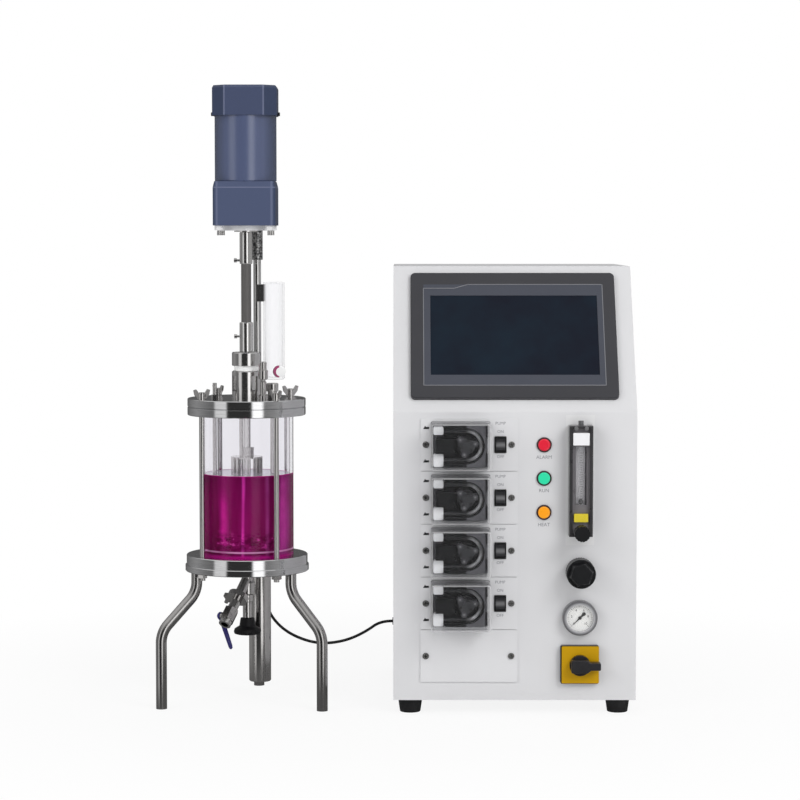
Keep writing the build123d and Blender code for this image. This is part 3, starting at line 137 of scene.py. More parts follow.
class Paint:
    def __init__(self, name, tree=None):
        if tree is None:
            self.material = bpy.data.materials.new(name)
            self.material.use_nodes = True
            tree = self.material.node_tree
        self.tree = tree
        tree.nodes.clear()

    # a node from its type, its inputs in order or by name, and its settings
    def node(self, kind, *values, settings=None, **named):
        made = self.tree.nodes.new(kind)
        for key, value in (settings or {}).items():
            setattr(made, key, value)
        for socket, value in zip(made.inputs, values):
            self.feed(socket, value)
        for key, value in named.items():
            self.feed(made.inputs[key.replace("_", " ")], value)
        return [Wire(self, out) for out in made.outputs]

    def feed(self, socket, value):
        if isinstance(value, Wire):
            self.tree.links.new(value.socket, socket)
        elif value is not None:
            socket.default_value = value

    def maths(self, operation, *values):
        return self.node("ShaderNodeMath", *values, settings={"operation": operation})[0]

    def vectors(self, operation, *values):
        return self.node("ShaderNodeVectorMath", *values, settings={"operation": operation})

    def place(self):
        return self.node("ShaderNodeTexCoord")[3]

    def stretched(self, vector, by):
        return self.vectors("MULTIPLY", vector, by)[0]

    def axes(self, vector):
        return self.node("ShaderNodeSeparateXYZ", vector)

    def noise(self, vector, scale, detail=3.0, rough=0.55):
        return self.node("ShaderNodeTexNoise", Vector=vector, Scale=scale, Detail=detail,
                         Roughness=rough)[0]

    def voronoi(self, vector, scale):
        return self.node("ShaderNodeTexVoronoi", Vector=vector, Scale=scale)[0]

    def between(self, value, low, high, soft=0.0004):
        rise = self.remap(value, low - soft, low + soft)
        return rise * self.remap(value, high - soft, high + soft, 1.0, 0.0)

    def ramp(self, value, stops, interpolation="LINEAR"):
        shown = self.node("ShaderNodeValToRGB", value)[0]
        ramp = shown.socket.node.color_ramp
        ramp.interpolation = interpolation
        while len(ramp.elements) < len(stops):
            ramp.elements.new(0.5)
        for element, (place, colour) in zip(ramp.elements, stops):
            element.position, element.color = place, colour
        return shown

    def remap(self, value, low, high, toLow=0.0, toHigh=1.0):
        return self.node("ShaderNodeMapRange", value, low, high, toLow, toHigh)[0]

    def mix(self, factor, a, b):
        made = self.tree.nodes.new("ShaderNodeMix")
        made.data_type = "RGBA"
        self.feed(made.inputs[0], factor)
        self.feed(made.inputs[6], a)
        self.feed(made.inputs[7], b)
        return Wire(self, made.outputs[2])

    def bump(self, height, strength, distance=0.0002):
        return self.node("ShaderNodeBump", Height=height, Strength=strength, Distance=distance)[0]

    def shader(self, **named):
        return self.node("ShaderNodeBsdfPrincipled", **named)[0]

    def blend(self, factor, a, b):
        return self.node("ShaderNodeMixShader", factor, a, b)[0]

    # what is seen straight through thin clear plastic
    def gone(self):
        return self.node("ShaderNodeBsdfTransparent", (0.985, 0.985, 0.99, 1.0))[0]

    def output(self, surface):
        self.node("ShaderNodeOutputMaterial", surface)
        return self.material

    def finish(self, **named):
        return self.output(self.shader(**named))


# a new material, the place on it being shaded, and that place's three distances
def begin(name):
    paint = Paint(name)
    here = paint.place()
    return paint, here, *paint.axes(here)


# a colour as it shows on a screen, 0 to 255, made linear
def rgb(*shown):
    shares = [v / 255 for v in shown]
    return tuple(v / 12.92 if v <= 0.04045 else ((v + 0.055) / 1.055) ** 2.4 for v in shares) + (1.0,)


# a colour made lighter or darker, with nothing above white
def toned(colour, by, lift=0.0):
    return tuple(min(1.0, c * by + lift) for c in colour[:3]) + (1.0,)


# powder coat: fine orange peel with a faint drift of tone
def powderCoat(name, colour, drift=0.03, grain=900.0, rough=0.5):
    paint = Paint(name)
    here = paint.place()
    wide = paint.noise(here, 6.0, 2.0)
    fine = paint.noise(here, grain, 2.0)
    return paint.finish(Base_Color=paint.mix(wide, toned(colour, 1 - 2 * drift), toned(colour, 1 + drift)),
                        Roughness=paint.remap(fine, 0.3, 0.7, rough - 0.06, rough + 0.08),
                        Normal=paint.bump(fine, 0.25, 0.00008))


# moulded plastic: spark-eroded texture and slightly rubbed sheen
def moulded(name, colour, rough=0.45, grain=1400.0, strength=0.25, coat=0.0, gloss=0.35):
    paint = Paint(name)
    here = paint.place()
    fine = paint.noise(here, grain, 2.0)
    wide = paint.noise(here, 35.0, 3.0)
    return paint.finish(Base_Color=paint.mix(wide, colour, toned(colour, 1.22, 0.004)),
                        Roughness=paint.remap(wide, 0.3, 0.7, rough - 0.07, rough + 0.07),
                        Coat_Weight=coat, Specular_IOR_Level=gloss,
                        Normal=paint.bump(fine, strength, 0.00006))


# polished or brushed stainless steel, its grain drawn out along one direction
def steel(name, colour=(0.69, 0.68, 0.675, 1.0), rough=0.16, stretch=(1, 1, 0.02), grain=900.0, strength=0.1):
    paint = Paint(name)
    here = paint.place()
    lines = paint.noise(paint.stretched(here, stretch), grain, 4.0, 0.7)
    marks = paint.noise(here, 18.0, 3.0)
    shown = paint.mix(paint.remap(lines, 0.35, 0.65), toned(colour, 0.82), colour)
    return paint.finish(Base_Color=shown, Metallic=1.0,
                        Roughness=paint.remap(marks, 0.3, 0.7, rough * 0.75, rough * 1.35),
                        Normal=paint.bump(lines, strength, 0.00004))


# rubber: matt, with a little dust
def rubber(name, colour, grain=700.0):
    paint = Paint(name)
    here = paint.place()
    fine = paint.noise(here, grain, 3.0)
    dust = paint.noise(here, 60.0, 3.0)
    dusty = toned(colour, 1.6, 0.006)
    return paint.finish(Base_Color=paint.mix(paint.remap(dust, 0.45, 0.75), colour, dusty),
                        Roughness=paint.remap(fine, 0.3, 0.7, 0.6, 0.8),
                        Normal=paint.bump(fine, 0.3, 0.0001))


# glass and clear plastic, faintly smeared; what refracts nothing is thin and shows by its alpha
def clear(name, tint, rough, ior, alpha=1.0, refracts=1.0, gloss=0.5):
    paint = Paint(name)
    smears = paint.noise(paint.place(), 22.0, 3.0)
    return paint.finish(Base_Color=paint.mix(smears, toned(tint, 0.96), tint),
                        Roughness=paint.remap(smears, 0.4, 0.8, rough * 0.6, rough * 1.6),
                        IOR=ior, Transmission_Weight=refracts, Alpha=alpha, Specular_IOR_Level=gloss)


# gives carried-over nodes one material in place of their own
def finish(material, *names):
    for name in names:
        mesh = nodes[name].data
        mesh.materials.clear()
        mesh.materials.append(material)
        for face in mesh.polygons:
            face.material_index = 0


cabinetCoat = powderCoat("cabinetCoat", rgb(219, 219, 221))
plateCoat = powderCoat("plateCoat", rgb(224, 224, 225), 0.02)
finish(cabinetCoat, "front_panel", "cabinet_wrap", "cabinet_chassis")
finish(rubber("footRubber", rgb(26, 26, 28)), "cabinet_feet")

# module plates, one above the other: the top of their row, their pitch, how far they and their screws stand
# out, and where across the screws' painted shade ends, turning them from dark to bright
plates = {"top": 0.375, "pitch": 0.0668, "face": 0.00206, "crown": 0.0038, "unshadedFrom": 0.12,
          "unshadedTo": 0.121}
deviceAcross = 0.2346  # flow meter and gauge stand in one column, this far from the cabinet's left


def eachPump(stem):
    return [stem + "_%d" % (k + 1) for k in range(4)]


# how far down its own plate a height lies, from the plate's middle
def downPlate(paint, z):
    share = paint.maths("FRACT", (plates["top"] - z) / plates["pitch"])
    return (share - 0.5) * plates["pitch"]


# module plates in the cabinet's coat, with screw heads standing on them, the left ones darkened by painted
# shade
def makePlateFinish():
    paint, here, x, y, z = begin("plateAndScrews")
    head = y < front - plates["face"]
    crown = y < front - plates["crown"]
    fine = paint.noise(here, 900.0, 2.0)
    wide = paint.noise(here, 9.0, 2.0)
    coat = paint.mix(wide, rgb(217, 217, 219), rgb(224, 224, 226))
    # the left screws carry painted shade, which fades out across the plate
    bright = paint.remap(x, left + plates["unshadedFrom"], left + plates["unshadedTo"], 0.0, 0.8)
    screw = paint.mix(crown, paint.mix(bright, rgb(62, 60, 60), rgb(138, 136, 134)), rgb(150, 150, 148))
    return paint.finish(Base_Color=paint.mix(head, coat, screw),
                        Metallic=head * 0.8,
                        Roughness=paint.remap(fine, 0.3, 0.7, 0.44, 0.56) - head * 0.22,
                        Normal=paint.bump(fine, 0.2, 0.00008))


finish(makePlateFinish(), "module_plates")
print("cabinet finishes done")

# touch panel: the face inside the inset line is a little bluer than the rim
panel = {"crease": 0.3823, "lean": math.atan2(115, 181.2), "face": 0.006, "left": 0.0385, "right": 0.268,
         "low": 0.0352, "high": 0.1832, "step": 0.0057, "stepFrom": 0.078, "stepTo": 0.0957, "line": 0.0011,
         "proud": 0.00025}


# a place on the sloping panel from its distance across, up the slope and out of it
def onSlope(across, up, out=0.0):
    lean = panel["lean"]
    return Vector((left + across, front + up * math.sin(lean) - out * math.cos(lean),
                   panel["crease"] + up * math.cos(lean) + out * math.sin(lean)))


def makeBezelFinish():
    paint, here, x, y, z = begin("bezelPlastic")
    low = onSlope(0, panel["low"], panel["face"]).z
    high = onSlope(0, panel["high"], panel["face"]).z
    inside = paint.between(x, left + panel["left"], left + panel["right"]) * paint.between(z, low, high)
    fine = paint.noise(here, 1500.0, 2.0)
    wide = paint.noise(here, 12.0, 2.0)
    rim = paint.mix(wide, rgb(54, 54, 58), rgb(62, 62, 66))
    face = paint.mix(wide, rgb(64, 67, 77), rgb(72, 75, 85))
    return paint.finish(Base_Color=paint.mix(inside, rim, face),
                        Roughness=paint.remap(fine, 0.3, 0.7, 0.42, 0.55) - inside * 0.12,
                        Specular_IOR_Level=0.35, Normal=paint.bump(fine, 0.2, 0.00006))


def makeDisplayFinish():
    paint = Paint("displayGlass")
    wide = paint.noise(paint.place(), 14.0, 3.0)
    colour = paint.mix(paint.remap(wide, 0.35, 0.65), rgb(20, 24, 36), rgb(22, 34, 46))
    return paint.finish(Base_Color=colour, Roughness=paint.remap(wide, 0.3, 0.7, 0.3, 0.4),
                        Specular_IOR_Level=0.12)


finish(makeBezelFinish(), "hmi_bezel")
finish(makeDisplayFinish(), "hmi_display")

# a pump: its clear cover, its block, and the rotor's rollers, a pitch out from its axis, their heads carrying
# painted highlights, with spots of painted shade between
cover = {"left": 0.0473, "width": 0.0744, "half": 0.02925, "rim": 0.0021, "lip": 0.0046}
block = {"face": 0.0072, "reach": 0.0226}
rotor = {"across": 0.0915, "pitch": 0.0112, "start": 15, "head": 0.0032, "glint": 0.0013, "shadeSpot": 0.0072,
         "shadeSpotRadius": 0.0018}


# the pump's mounting frame is a lighter grey than the black block on it, which ends in a half round
def makePumpFinish():
    paint, here, x, y, z = begin("pumpMoulding")
    down = downPlate(paint, z)
    beyond = x - (left + rotor["across"])
    reach = paint.maths("POWER", beyond * beyond + down * down, 0.5)
    corner = (beyond > 0.0) * (reach > block["reach"])
    black = (y < front - block["face"]) * (1.0 - corner)
    fine = paint.noise(here, 1400.0, 2.0)
    wide = paint.noise(here, 35.0, 3.0)
    frameGrey = paint.mix(wide, rgb(84, 84, 88), rgb(98, 98, 102))
    blockBlack = paint.mix(wide, rgb(12, 13, 14), rgb(20, 21, 23))
    return paint.finish(Base_Color=paint.mix(black, frameGrey, blockBlack),
                        Roughness=paint.remap(wide, 0.3, 0.7, 0.34, 0.48), Specular_IOR_Level=0.2,
                        Normal=paint.bump(fine, 0.2, 0.00006))


# the rotor shows a paler roller head at each of its three corners, a painted highlight with a brighter
# painted glint at its middle, and a spot of painted shade between each two
def makeRotorFinish():
    paint, here, x, y, z = begin("rotorGrey")
    down = downPlate(paint, z)
    beyond = x - (left + rotor["across"])

    def spot(pitch, turn, radius):
        aside = beyond - pitch * math.cos(math.radians(turn))
        below = down + pitch * math.sin(math.radians(turn))
        return (aside * aside + below * below) < radius * radius

    wide = paint.noise(here, 90.0, 3.0)
    colour = paint.mix(wide, rgb(40, 40, 43), rgb(58, 58, 61))
    for k in range(3):
        turn = rotor["start"] + 120 * k
        # painted shade between the rollers, then each roller head's painted highlight and its painted glint
        colour = paint.mix(spot(rotor["shadeSpot"], turn + 60, rotor["shadeSpotRadius"]), colour, rgb(12, 12, 13))
        colour = paint.mix(spot(rotor["pitch"], turn, rotor["head"]), colour, rgb(72, 72, 75))
        colour = paint.mix(spot(rotor["pitch"], turn, rotor["glint"]), colour, rgb(122, 122, 124))
    return paint.finish(Base_Color=colour, Roughness=paint.remap(wide, 0.3, 0.7, 0.28, 0.42), Coat_Weight=0.3)


# clear moulding: nearly nothing face on, its side walls and front rim greyer, its right rim brighter
def makeCoverFinish():
    paint, here, x, y, z = begin("coverPlastic")
    half = cover["width"] / 2
    right = left + cover["left"] + cover["width"]
    rim = paint.maths("MAXIMUM", abs(downPlate(paint, z)) - (cover["half"] - cover["rim"]),
                      abs(x - (right - half)) - (half - cover["rim"]))
    rim = paint.remap(rim, 0.0, 0.0006)
    lip = paint.between(x, right - cover["lip"], right)
    facing = abs(paint.axes(paint.node("ShaderNodeTexCoord")[1])[1])
    wall = paint.remap(facing, 0.2, 0.8, 1.0, 0.0)
    edge = paint.node("ShaderNodeLayerWeight", 0.3)[1]
    smears = paint.noise(here, 40.0, 3.0)
    shell = paint.shader(Base_Color=(0.62, 0.62, 0.63, 1.0), IOR=1.5,
                         Roughness=paint.remap(smears, 0.3, 0.7, 0.05, 0.14))
    share = 0.015 + edge * 0.06 + wall * 0.22 + rim * (1.0 - wall) * 0.4 + lip * (1.0 - wall) * 0.3
    return paint.output(paint.blend(share, paint.gone(), shell))


# rockers: black, their middle made grey by a painted highlight
rocker = {"paintedHighlight": 0.001, "black": 0.0042}


def makeRockerFinish():
    paint, here, x, y, z = begin("rockerBlack")
    # painted highlight across the rocker's middle
    paintedHighlight = paint.remap(abs(downPlate(paint, z)), rocker["paintedHighlight"], rocker["black"], 1.0, 0.0)
    fine = paint.noise(here, 1400.0, 2.0)
    return paint.finish(Base_Color=paint.mix(paintedHighlight, rgb(40, 40, 43), rgb(112, 112, 114)),
                        Roughness=paint.remap(fine, 0.3, 0.7, 0.34, 0.44),
                        Normal=paint.bump(fine, 0.2, 0.00006))


# hose of milky silicone between white moulded connectors, a painted highlight on its bend
hose = {"connector": 0.0126, "bendFrom": 0.091, "bendTo": 0.101}


def makeHoseFinish():
    paint, here, x, y, z = begin("hoseAndConnectors")
    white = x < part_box("pump_tubing")[0].x + hose["connector"]
    milky = paint.noise(here, 60.0, 3.0)
    # painted highlight along the hose's bend
    bend = paint.remap(x, left + hose["bendFrom"], left + hose["bendTo"])
    bend = bend * paint.remap(milky, 0.35, 0.65, 0.3, 1.0)
    silicone = paint.mix(bend, paint.mix(milky, rgb(40, 41, 43), rgb(66, 67, 69)), rgb(206, 207, 209))
    colour = paint.mix(white, silicone, rgb(248, 249, 250))
    return paint.finish(Base_Color=colour, Roughness=0.3 + white * 0.15)


finish(makePumpFinish(), "pump_bodies")
finish(makeRotorFinish(), *eachPump("pump_rotor"))
finish(makeCoverFinish(), *eachPump("pump_cover"))
finish(makeRockerFinish(), *eachPump("rocker"))
finish(makeHoseFinish(), "pump_tubing")
finish(moulded("switchBlack", rgb(26, 26, 28), 0.35, coat=0.2), "switch_frames")


# the three lenses differ only by height: orange, green and red from below
def makeLensFinish():
    paint, here, x, y, z = begin("lampLenses")
    low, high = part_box("lamp_lenses")
    share = paint.remap(z, low.z, high.z)
    colour = paint.ramp(share, [(0.0, rgb(250, 160, 20)), (0.3, rgb(45, 218, 165)), (0.7, rgb(220, 30, 55))],
                        "CONSTANT")
    prism = paint.voronoi(here, 700.0)
    return paint.finish(Base_Color=colour, Roughness=0.22, Coat_Weight=0.5, Emission_Color=colour,
                        Emission_Strength=0.12, Normal=paint.bump(prism, 0.15, 0.0001))


finish(makeLensFinish(), "lamp_lenses")
finish(moulded("lampRim", rgb(52, 36, 38), 0.28, coat=0.4), "lamp_bezels")


# smoked meter block with a white plug, a yellow badge and bright screws, and a white ground in the recess
# behind its tube; plug and badge are their low and high edges and half their width
meter = {"face": 0.0163, "plug": (0.3418, 0.3581, 0.0103), "badge": (0.2459, 0.2566, 0.0089),
         "nipple": 0.006, "screwAside": 0.0065, "screwUnder": 0.009, "screwHalf": 0.0028, "screwFace": 0.0221,
         "recess": (0.0165, 0.0109), "ground": 0.0056, "channel": (0.267, 0.3402), "edge": 0.0001}


def makeMeterFinish():
    paint, here, x, y, z = begin("meterBlock")
    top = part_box("flow_meter_block")[1].z
    aside = abs(x - (left + deviceAcross))
    raised = y < front - meter["face"]

    def inlay(low, high, half):
        return paint.between(z, low, high, meter["edge"]) * (aside < half) * raised

    screws = abs(aside - meter["screwAside"]) < meter["screwHalf"]
    screws = screws * (abs(z - (top - meter["screwUnder"])) < meter["screwHalf"])
    screws = screws * (y < front - meter["screwFace"])
    nipple = z > top - meter["nipple"] + 0.0002
    floor, half = meter["recess"]
    deep = (y > front - floor) * (aside < half)
    wide = paint.noise(here, 45.0, 3.0)
    smoke = paint.mix(wide, rgb(42, 41, 43), rgb(56, 55, 57))
    inner = paint.mix(wide, rgb(104, 101, 105), rgb(130, 127, 131))
    ground = deep * (aside < meter["ground"]) * paint.between(z, *meter["channel"], meter["edge"])
    colour = paint.mix(deep, smoke, inner)
    for share, shade in ((ground, (238, 236, 240)), (inlay(*meter["plug"]), (238, 238, 240)),
                         (inlay(*meter["badge"]), (222, 202, 50)), (screws, (150, 150, 152)),
                         (nipple, (120, 120, 122))):
        colour = paint.mix(share, colour, rgb(*shade))
    return paint.finish(Base_Color=colour, Metallic=(screws + nipple) * 0.7,
                        Roughness=paint.remap(wide, 0.3, 0.7, 0.25, 0.4), Coat_Weight=0.3)


finish(makeMeterFinish(), "flow_meter_block")
finish(clear("meterGlass", rgb(206, 206, 210), 0.12, 1.47, 0.07, 0.0), "flow_meter_tube")
finish(moulded("floatBlack", rgb(18, 18, 19), 0.3, coat=0.2), "flow_float")
finish(moulded("knobBlack", rgb(17, 17, 19), 0.5, gloss=0.25),
       "flow_meter_knob", "harvest_handwheel", "cable_grommet")
finish(moulded("regulatorBlack", rgb(20, 21, 23), 0.4, coat=0.1, gloss=0.25),
       "regulator_knob", "regulator_body")
finish(clear("gaugeGlass", (0.6, 0.6, 0.6, 1.0), 0.02, 1.45, 0.05, 0.0), "gauge_lens")
finish(moulded("handleBlack", rgb(34, 33, 36), 0.36, coat=0.2), "switch_handle", "switch_base")
finish(moulded("yellowPlate", rgb(188, 144, 0), 0.45, gloss=0.15), "switch_plate")
finish(moulded("needleBlack", rgb(24, 24, 24), 0.5), "gauge_needle")

# stainless parts: turned grain round the axis, drawn grain along tubes
turned = {"stretch": (0.05, 0.05, 1), "grain": 1200.0}
finish(steel("turnedSteel", (0.7, 0.7, 0.71, 1.0), 0.1, **turned), "base_flange", "clamp_ring", "head_plate")
finish(steel("legSteel", (0.465, 0.454, 0.447, 1.0), 0.16), "tripod_legs")
finish(steel("drawnSteel", (0.62, 0.605, 0.595, 1.0), 0.16), "tie_rods", "heater_housing", "dip_tubes",
       "head_fittings", "harvest_valve", "drain_branch", "impellers")


# the gauge's rim is pale where it meets the glass and dark round its outside
def makeGaugeFinish():
    paint = Paint("gaugeGrey")
    here = paint.place()
    low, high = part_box("gauge_case")
    level = paint.stretched(here, (1, 0, 1))
    away = paint.vectors("DISTANCE", level, ((low.x + high.x) / 2, 0, (low.z + high.z) / 2))[1]
    share = away / ((high.x - low.x) / 2)
    fine = paint.noise(here, 1400.0, 2.0)
    colour = paint.ramp(share, [(0.76, rgb(190, 190, 193)), (0.86, rgb(140, 140, 143)),
                                (0.93, rgb(92, 92, 95)), (1.0, rgb(112, 112, 115))])
    return paint.finish(Base_Color=colour, Roughness=paint.remap(fine, 0.3, 0.7, 0.26, 0.34),
                        Specular_IOR_Level=0.6, Normal=paint.bump(fine, 0.2, 0.00006))


finish(makeGaugeFinish(), "gauge_case")


# heights on the shaft's line: the white ring seal's from the housing's foot, the dark tube's and the column
# sleeve's from the floor
shaft = {"sealLow": 0.0356, "sealHigh": 0.0414, "tubeLow": 0.4919, "tubeHigh": 0.5665, "sleeve": 0.5718}


def makeHousingFinish():
    paint, here, x, y, z = begin("housingSteel")
    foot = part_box("bearing_housing")[0].z
    ring = paint.between(z, foot + shaft["sealLow"], foot + shaft["sealHigh"], 0.0001)
    grain = paint.noise(paint.stretched(here, turned["stretch"]), turned["grain"], 4.0)
    return paint.finish(Base_Color=paint.mix(ring, (0.62, 0.61, 0.605, 1.0), rgb(250, 250, 250)),
                        Metallic=1.0 - ring, Roughness=0.12 + grain * 0.06 + ring * 0.35)


# shaft couplings are polished, the tube between them is dark
def makeShaftFinish():
    paint, here, x, y, z = begin("shaftSteel")
    tube = paint.between(z, shaft["tubeLow"], shaft["tubeHigh"], 0.0002)
    grain = paint.noise(here, 900.0, 4.0)
    return paint.finish(Base_Color=paint.mix(tube, (0.7, 0.69, 0.68, 1.0), (0.15, 0.145, 0.142, 1.0)),
                        Metallic=1.0 - tube * 0.5, Roughness=0.13 + tube * 0.4 + grain * 0.05)


# the sleeve at the column's top carries a mottled knurl
def makeColumnFinish():
    paint, here, x, y, z = begin("columnSteel")
    sleeve = z > shaft["sleeve"]
    cells = paint.voronoi(here, 400.0)
    patch = paint.remap(cells, 0.15, 0.75)
    mottle = paint.mix(patch, (0.62, 0.62, 0.61, 1.0), (0.09, 0.09, 0.095, 1.0))
    return paint.finish(Base_Color=paint.mix(sleeve, (0.66, 0.655, 0.65, 1.0), mottle),
                        Metallic=1.0, Roughness=0.18 + sleeve * 0.2,
                        Normal=paint.bump(cells * sleeve, 0.8, 0.0006))


finish(makeHousingFinish(), "bearing_housing")
finish(makeShaftFinish(), "agitator_shaft")
finish(makeColumnFinish(), "support_column")

# enamel of the drive: the castings' arrises carry painted highlights, and their flanks painted shade. A pair
# is where something starts and ends, aside from the axis, or for the lid down from the gearbox's top.
drive = {"motorHalf": 0.0395, "cowlArris": (0.0239, 0.0257), "cowlFlank": (0.0254, 0.0262), "ball": 0.0412,
         "boxArris": (0.0335, 0.0355), "boxFlank": (0.0355, 0.038), "boltLow": 0.0059, "brightFoot": 0.0124,
         "lid": (0.0072, 0.0084)}


def enamel(paint, colour, paintedHighlight, shade):
    here = paint.place()
    fine = paint.noise(here, 1100.0, 2.0)
    wide = paint.noise(here, 6.0, 2.0)
    # painted shade darkens towards a deep blue, and painted highlight lightens towards a pale blue
    shown = paint.mix(shade, paint.mix(wide, toned(colour, 0.93), colour), rgb(44, 56, 84))
    return paint.mix(paintedHighlight, shown, rgb(112, 118, 144)), fine


def makeMotorFinish():
    paint = Paint("motorBlue")
    aside = abs(paint.axes(paint.place())[0] - vesselAxis.x) / drive["motorHalf"]
    # painted shade on the motor's sides
    colour, fine = enamel(paint, rgb(78, 88, 120), 0.0, paint.remap(aside, 0.62, 0.9, 0.0, 0.85))
    return paint.finish(Base_Color=colour, Roughness=0.24 + fine * 0.03, Specular_IOR_Level=1.0,
                        Normal=paint.bump(fine, 0.12, 0.00006))


def makeCowlFinish():
    paint = Paint("cowlBlue")
    aside = abs(paint.axes(paint.place())[0] - vesselAxis.x)
    # painted highlight along the cowl's arrises, painted shade on its flanks
    paintedHighlight = paint.between(aside, *drive["cowlArris"]) * 0.75
    colour, fine = enamel(paint, rgb(68, 77, 105), paintedHighlight, paint.remap(aside, *drive["cowlFlank"], 0.0, 0.8))
    ball = aside > drive["ball"]
    return paint.finish(Base_Color=paint.mix(ball, colour, rgb(20, 21, 26)), Roughness=0.3 + fine * 0.05,
                        Normal=paint.bump(fine, 0.15, 0.00006))


def makeGearboxFinish():
    paint, here, x, y, z = begin("gearboxBlue")
    low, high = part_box("gearbox")
    aside = abs(x - vesselAxis.x)
    bright = z < low.z + drive["brightFoot"]
    seat = paint.between(z, low.z + drive["boltLow"], low.z + drive["brightFoot"], 0.0001)
    # painted highlight on a band under the gearbox's top and along its side arrises, painted shade on its
    # flanks
    lid = paint.between(high.z - z, *drive["lid"])
    side = paint.between(aside, *drive["boxArris"], 0.0006)
    paintedHighlight = paint.maths("MAXIMUM", lid * 0.8, side * 0.55)
    colour, fine = enamel(paint, rgb(75, 85, 114), paintedHighlight, paint.remap(aside, *drive["boxFlank"], 0.0, 0.8))
    metal = paint.mix(seat, (0.66, 0.65, 0.64, 1.0), (0.86, 0.86, 0.87, 1.0))
    return paint.finish(Base_Color=paint.mix(bright, colour, metal), Metallic=bright - seat * 0.8,
                        Roughness=0.3 - bright * 0.14 + seat * 0.3 + fine * 0.05,
                        Normal=paint.bump(fine, 0.15, 0.00006))


finish(makeMotorFinish(), "motor_body")
finish(makeCowlFinish(), "fan_cowl")
finish(makeGearboxFinish(), "gearbox")
finish(powderCoat("leverBlue", rgb(48, 44, 108), 0.05, 900.0, 0.35), "ball_valve_lever")
finish(clear("vesselGlass", (0.917, 0.91, 0.937, 1.0), 0.0, 1.22, gloss=0.15), "glass_cylinder")


# the trap's frosty plastic, with a white screw cap and its red seal on the port. The trap's axis stands at
# (x, y) from the vessel's, and the port points out of it at the turn, its middle a little above the foot.
# The cap's and the seal's edges are shares of the port's radius.
trap = {"x": 0.0395, "y": 0.011, "turn": math.radians(20), "portUp": 0.011, "portRadius": 0.0075,
        "capFrom": 0.0035, "capSeal": 0.0106, "capEdge": 1.03, "crescentEdge": 0.76, "crescentSide": -0.15}


def makeTrapFinish():
    paint, here, x, y, z = begin("trapPlastic")
    x, y = x - (vesselAxis.x + trap["x"]), y - (vesselAxis.y + trap["y"])
    cosine, sine = math.cos(trap["turn"]), math.sin(trap["turn"])
    ahead = x * sine - y * cosine
    beside = (x * cosine + y * sine) / trap["portRadius"]
    rise = (z - (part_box("exhaust_trap")[0].z + trap["portUp"])) / trap["portRadius"]
    near = paint.maths("POWER", rise * rise + beside * beside, 0.5)
    cap = (ahead > trap["capFrom"]) * (near < trap["capEdge"])
    crescent = (near > trap["crescentEdge"]) * (beside < trap["crescentSide"])
    seal = cap * paint.maths("MAXIMUM", crescent, ahead < trap["capSeal"])
    edge = paint.node("ShaderNodeLayerWeight", 0.3)[1]
    clouds = paint.noise(here, 30.0, 3.0)
    skin = paint.shader(Base_Color=paint.mix(seal, (0.97, 0.97, 0.97, 1.0), rgb(176, 62, 116)), IOR=1.5,
                        Roughness=paint.remap(clouds, 0.3, 0.7, 0.12, 0.25))
    share = paint.maths("MAXIMUM", paint.remap(edge, 0.0, 1.0, 0.02, 0.4), cap)
    return paint.output(paint.blend(share, paint.gone(), skin))


finish(makeTrapFinish(), "exhaust_trap")
cablePiece.data.materials.append(rubber("cableRubber", rgb(20, 20, 21)))
print("finishes on every carried-over node")


# a piece of its own from a function that fills a bmesh
def addPiece(name, build, material, replaces=()):
    mesh = bpy.data.meshes.new(name)
    solid = bmesh.new()
    build(solid)
    bmesh.ops.remove_doubles(solid, verts=solid.verts, dist=1e-6)
    bmesh.ops.recalc_face_normals(solid, faces=solid.faces)
    solid.to_mesh(mesh)
    solid.free()
    piece = bpy.data.objects.new(name, mesh)
    bpy.context.collection.objects.link(piece)
    mesh.materials.append(material)
    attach(piece, rootBody)
    if replaces:
        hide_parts(*replaces)
    return piece


# an outline of radii and heights turned once round; a radius of 0 is a pole
def lathe(solid, centre, outline, steps=96):
    rings = []
    for radius, height in outline:
        turns = [2 * math.pi * k / steps for k in range(steps if radius > 0 else 1)]
        places = [(centre.x + radius * math.cos(t), centre.y + radius * math.sin(t), height) for t in turns]
        rings.append([solid.verts.new(place) for place in places])
    for low, high in zip(rings, rings[1:]):
        for k in range(steps):
            n = (k + 1) % steps
            corners = [low[k % len(low)], low[n % len(low)], high[n % len(high)], high[k % len(high)]]
            corners = [c for i, c in enumerate(corners) if c not in corners[:i]]
            if len(corners) > 2:
                solid.faces.new(corners)


# the culture is one closed body of liquid that rises a little where it meets the glass. Its streaks, painted
# light for reflections and light shining through the liquid, are their place aside from the axis, half width,
# height, half length and colour; blades, foot, ring and brim are heights above its base or under its top, and
# over the blades the liquid carries darker patches for the impellers with painted highlights on them.
culture = {"overlap": 0.0002, "meniscus": 0.0006, "run": 0.002, "arris": 0.0006, "steps": 6, "drift": 0.008,
           "blades": (0.013, 0.033), "bladeReach": 0.034, "bladeFade": 0.006, "foot": (0.004, 0.0075),
           "ring": (0.0092, 0.0114), "brim": (0.0014, 0.0004), "surface": (214, 206, 220),
           "paintedLightStreaks": [(-0.027, 0.0078, 0.235, 0.04, (236, 30, 172)),
                       (-0.001, 0.003, 0.25, 0.3, (236, 62, 186)),
                       (0.028, 0.0036, 0.25, 0.3, (172, 58, 138)),
                       (0.0475, 0.006, 0.3, 0.2, (220, 70, 184))]}


def cultureOutline(inner, base, top):
    rise, arris = culture["meniscus"], culture["arris"]
    outline = [(0, base), (inner * 0.5, base), (inner - arris, base), (inner, base + arris), (inner, top)]
    for k in range(culture["steps"]):
        share = (k + 1) / culture["steps"]
        outline.append((inner - culture["run"] * share, top - rise * (1 - (1 - share) ** 2)))
    return outline + [(inner * 0.5, top - rise), (0, top - rise)]


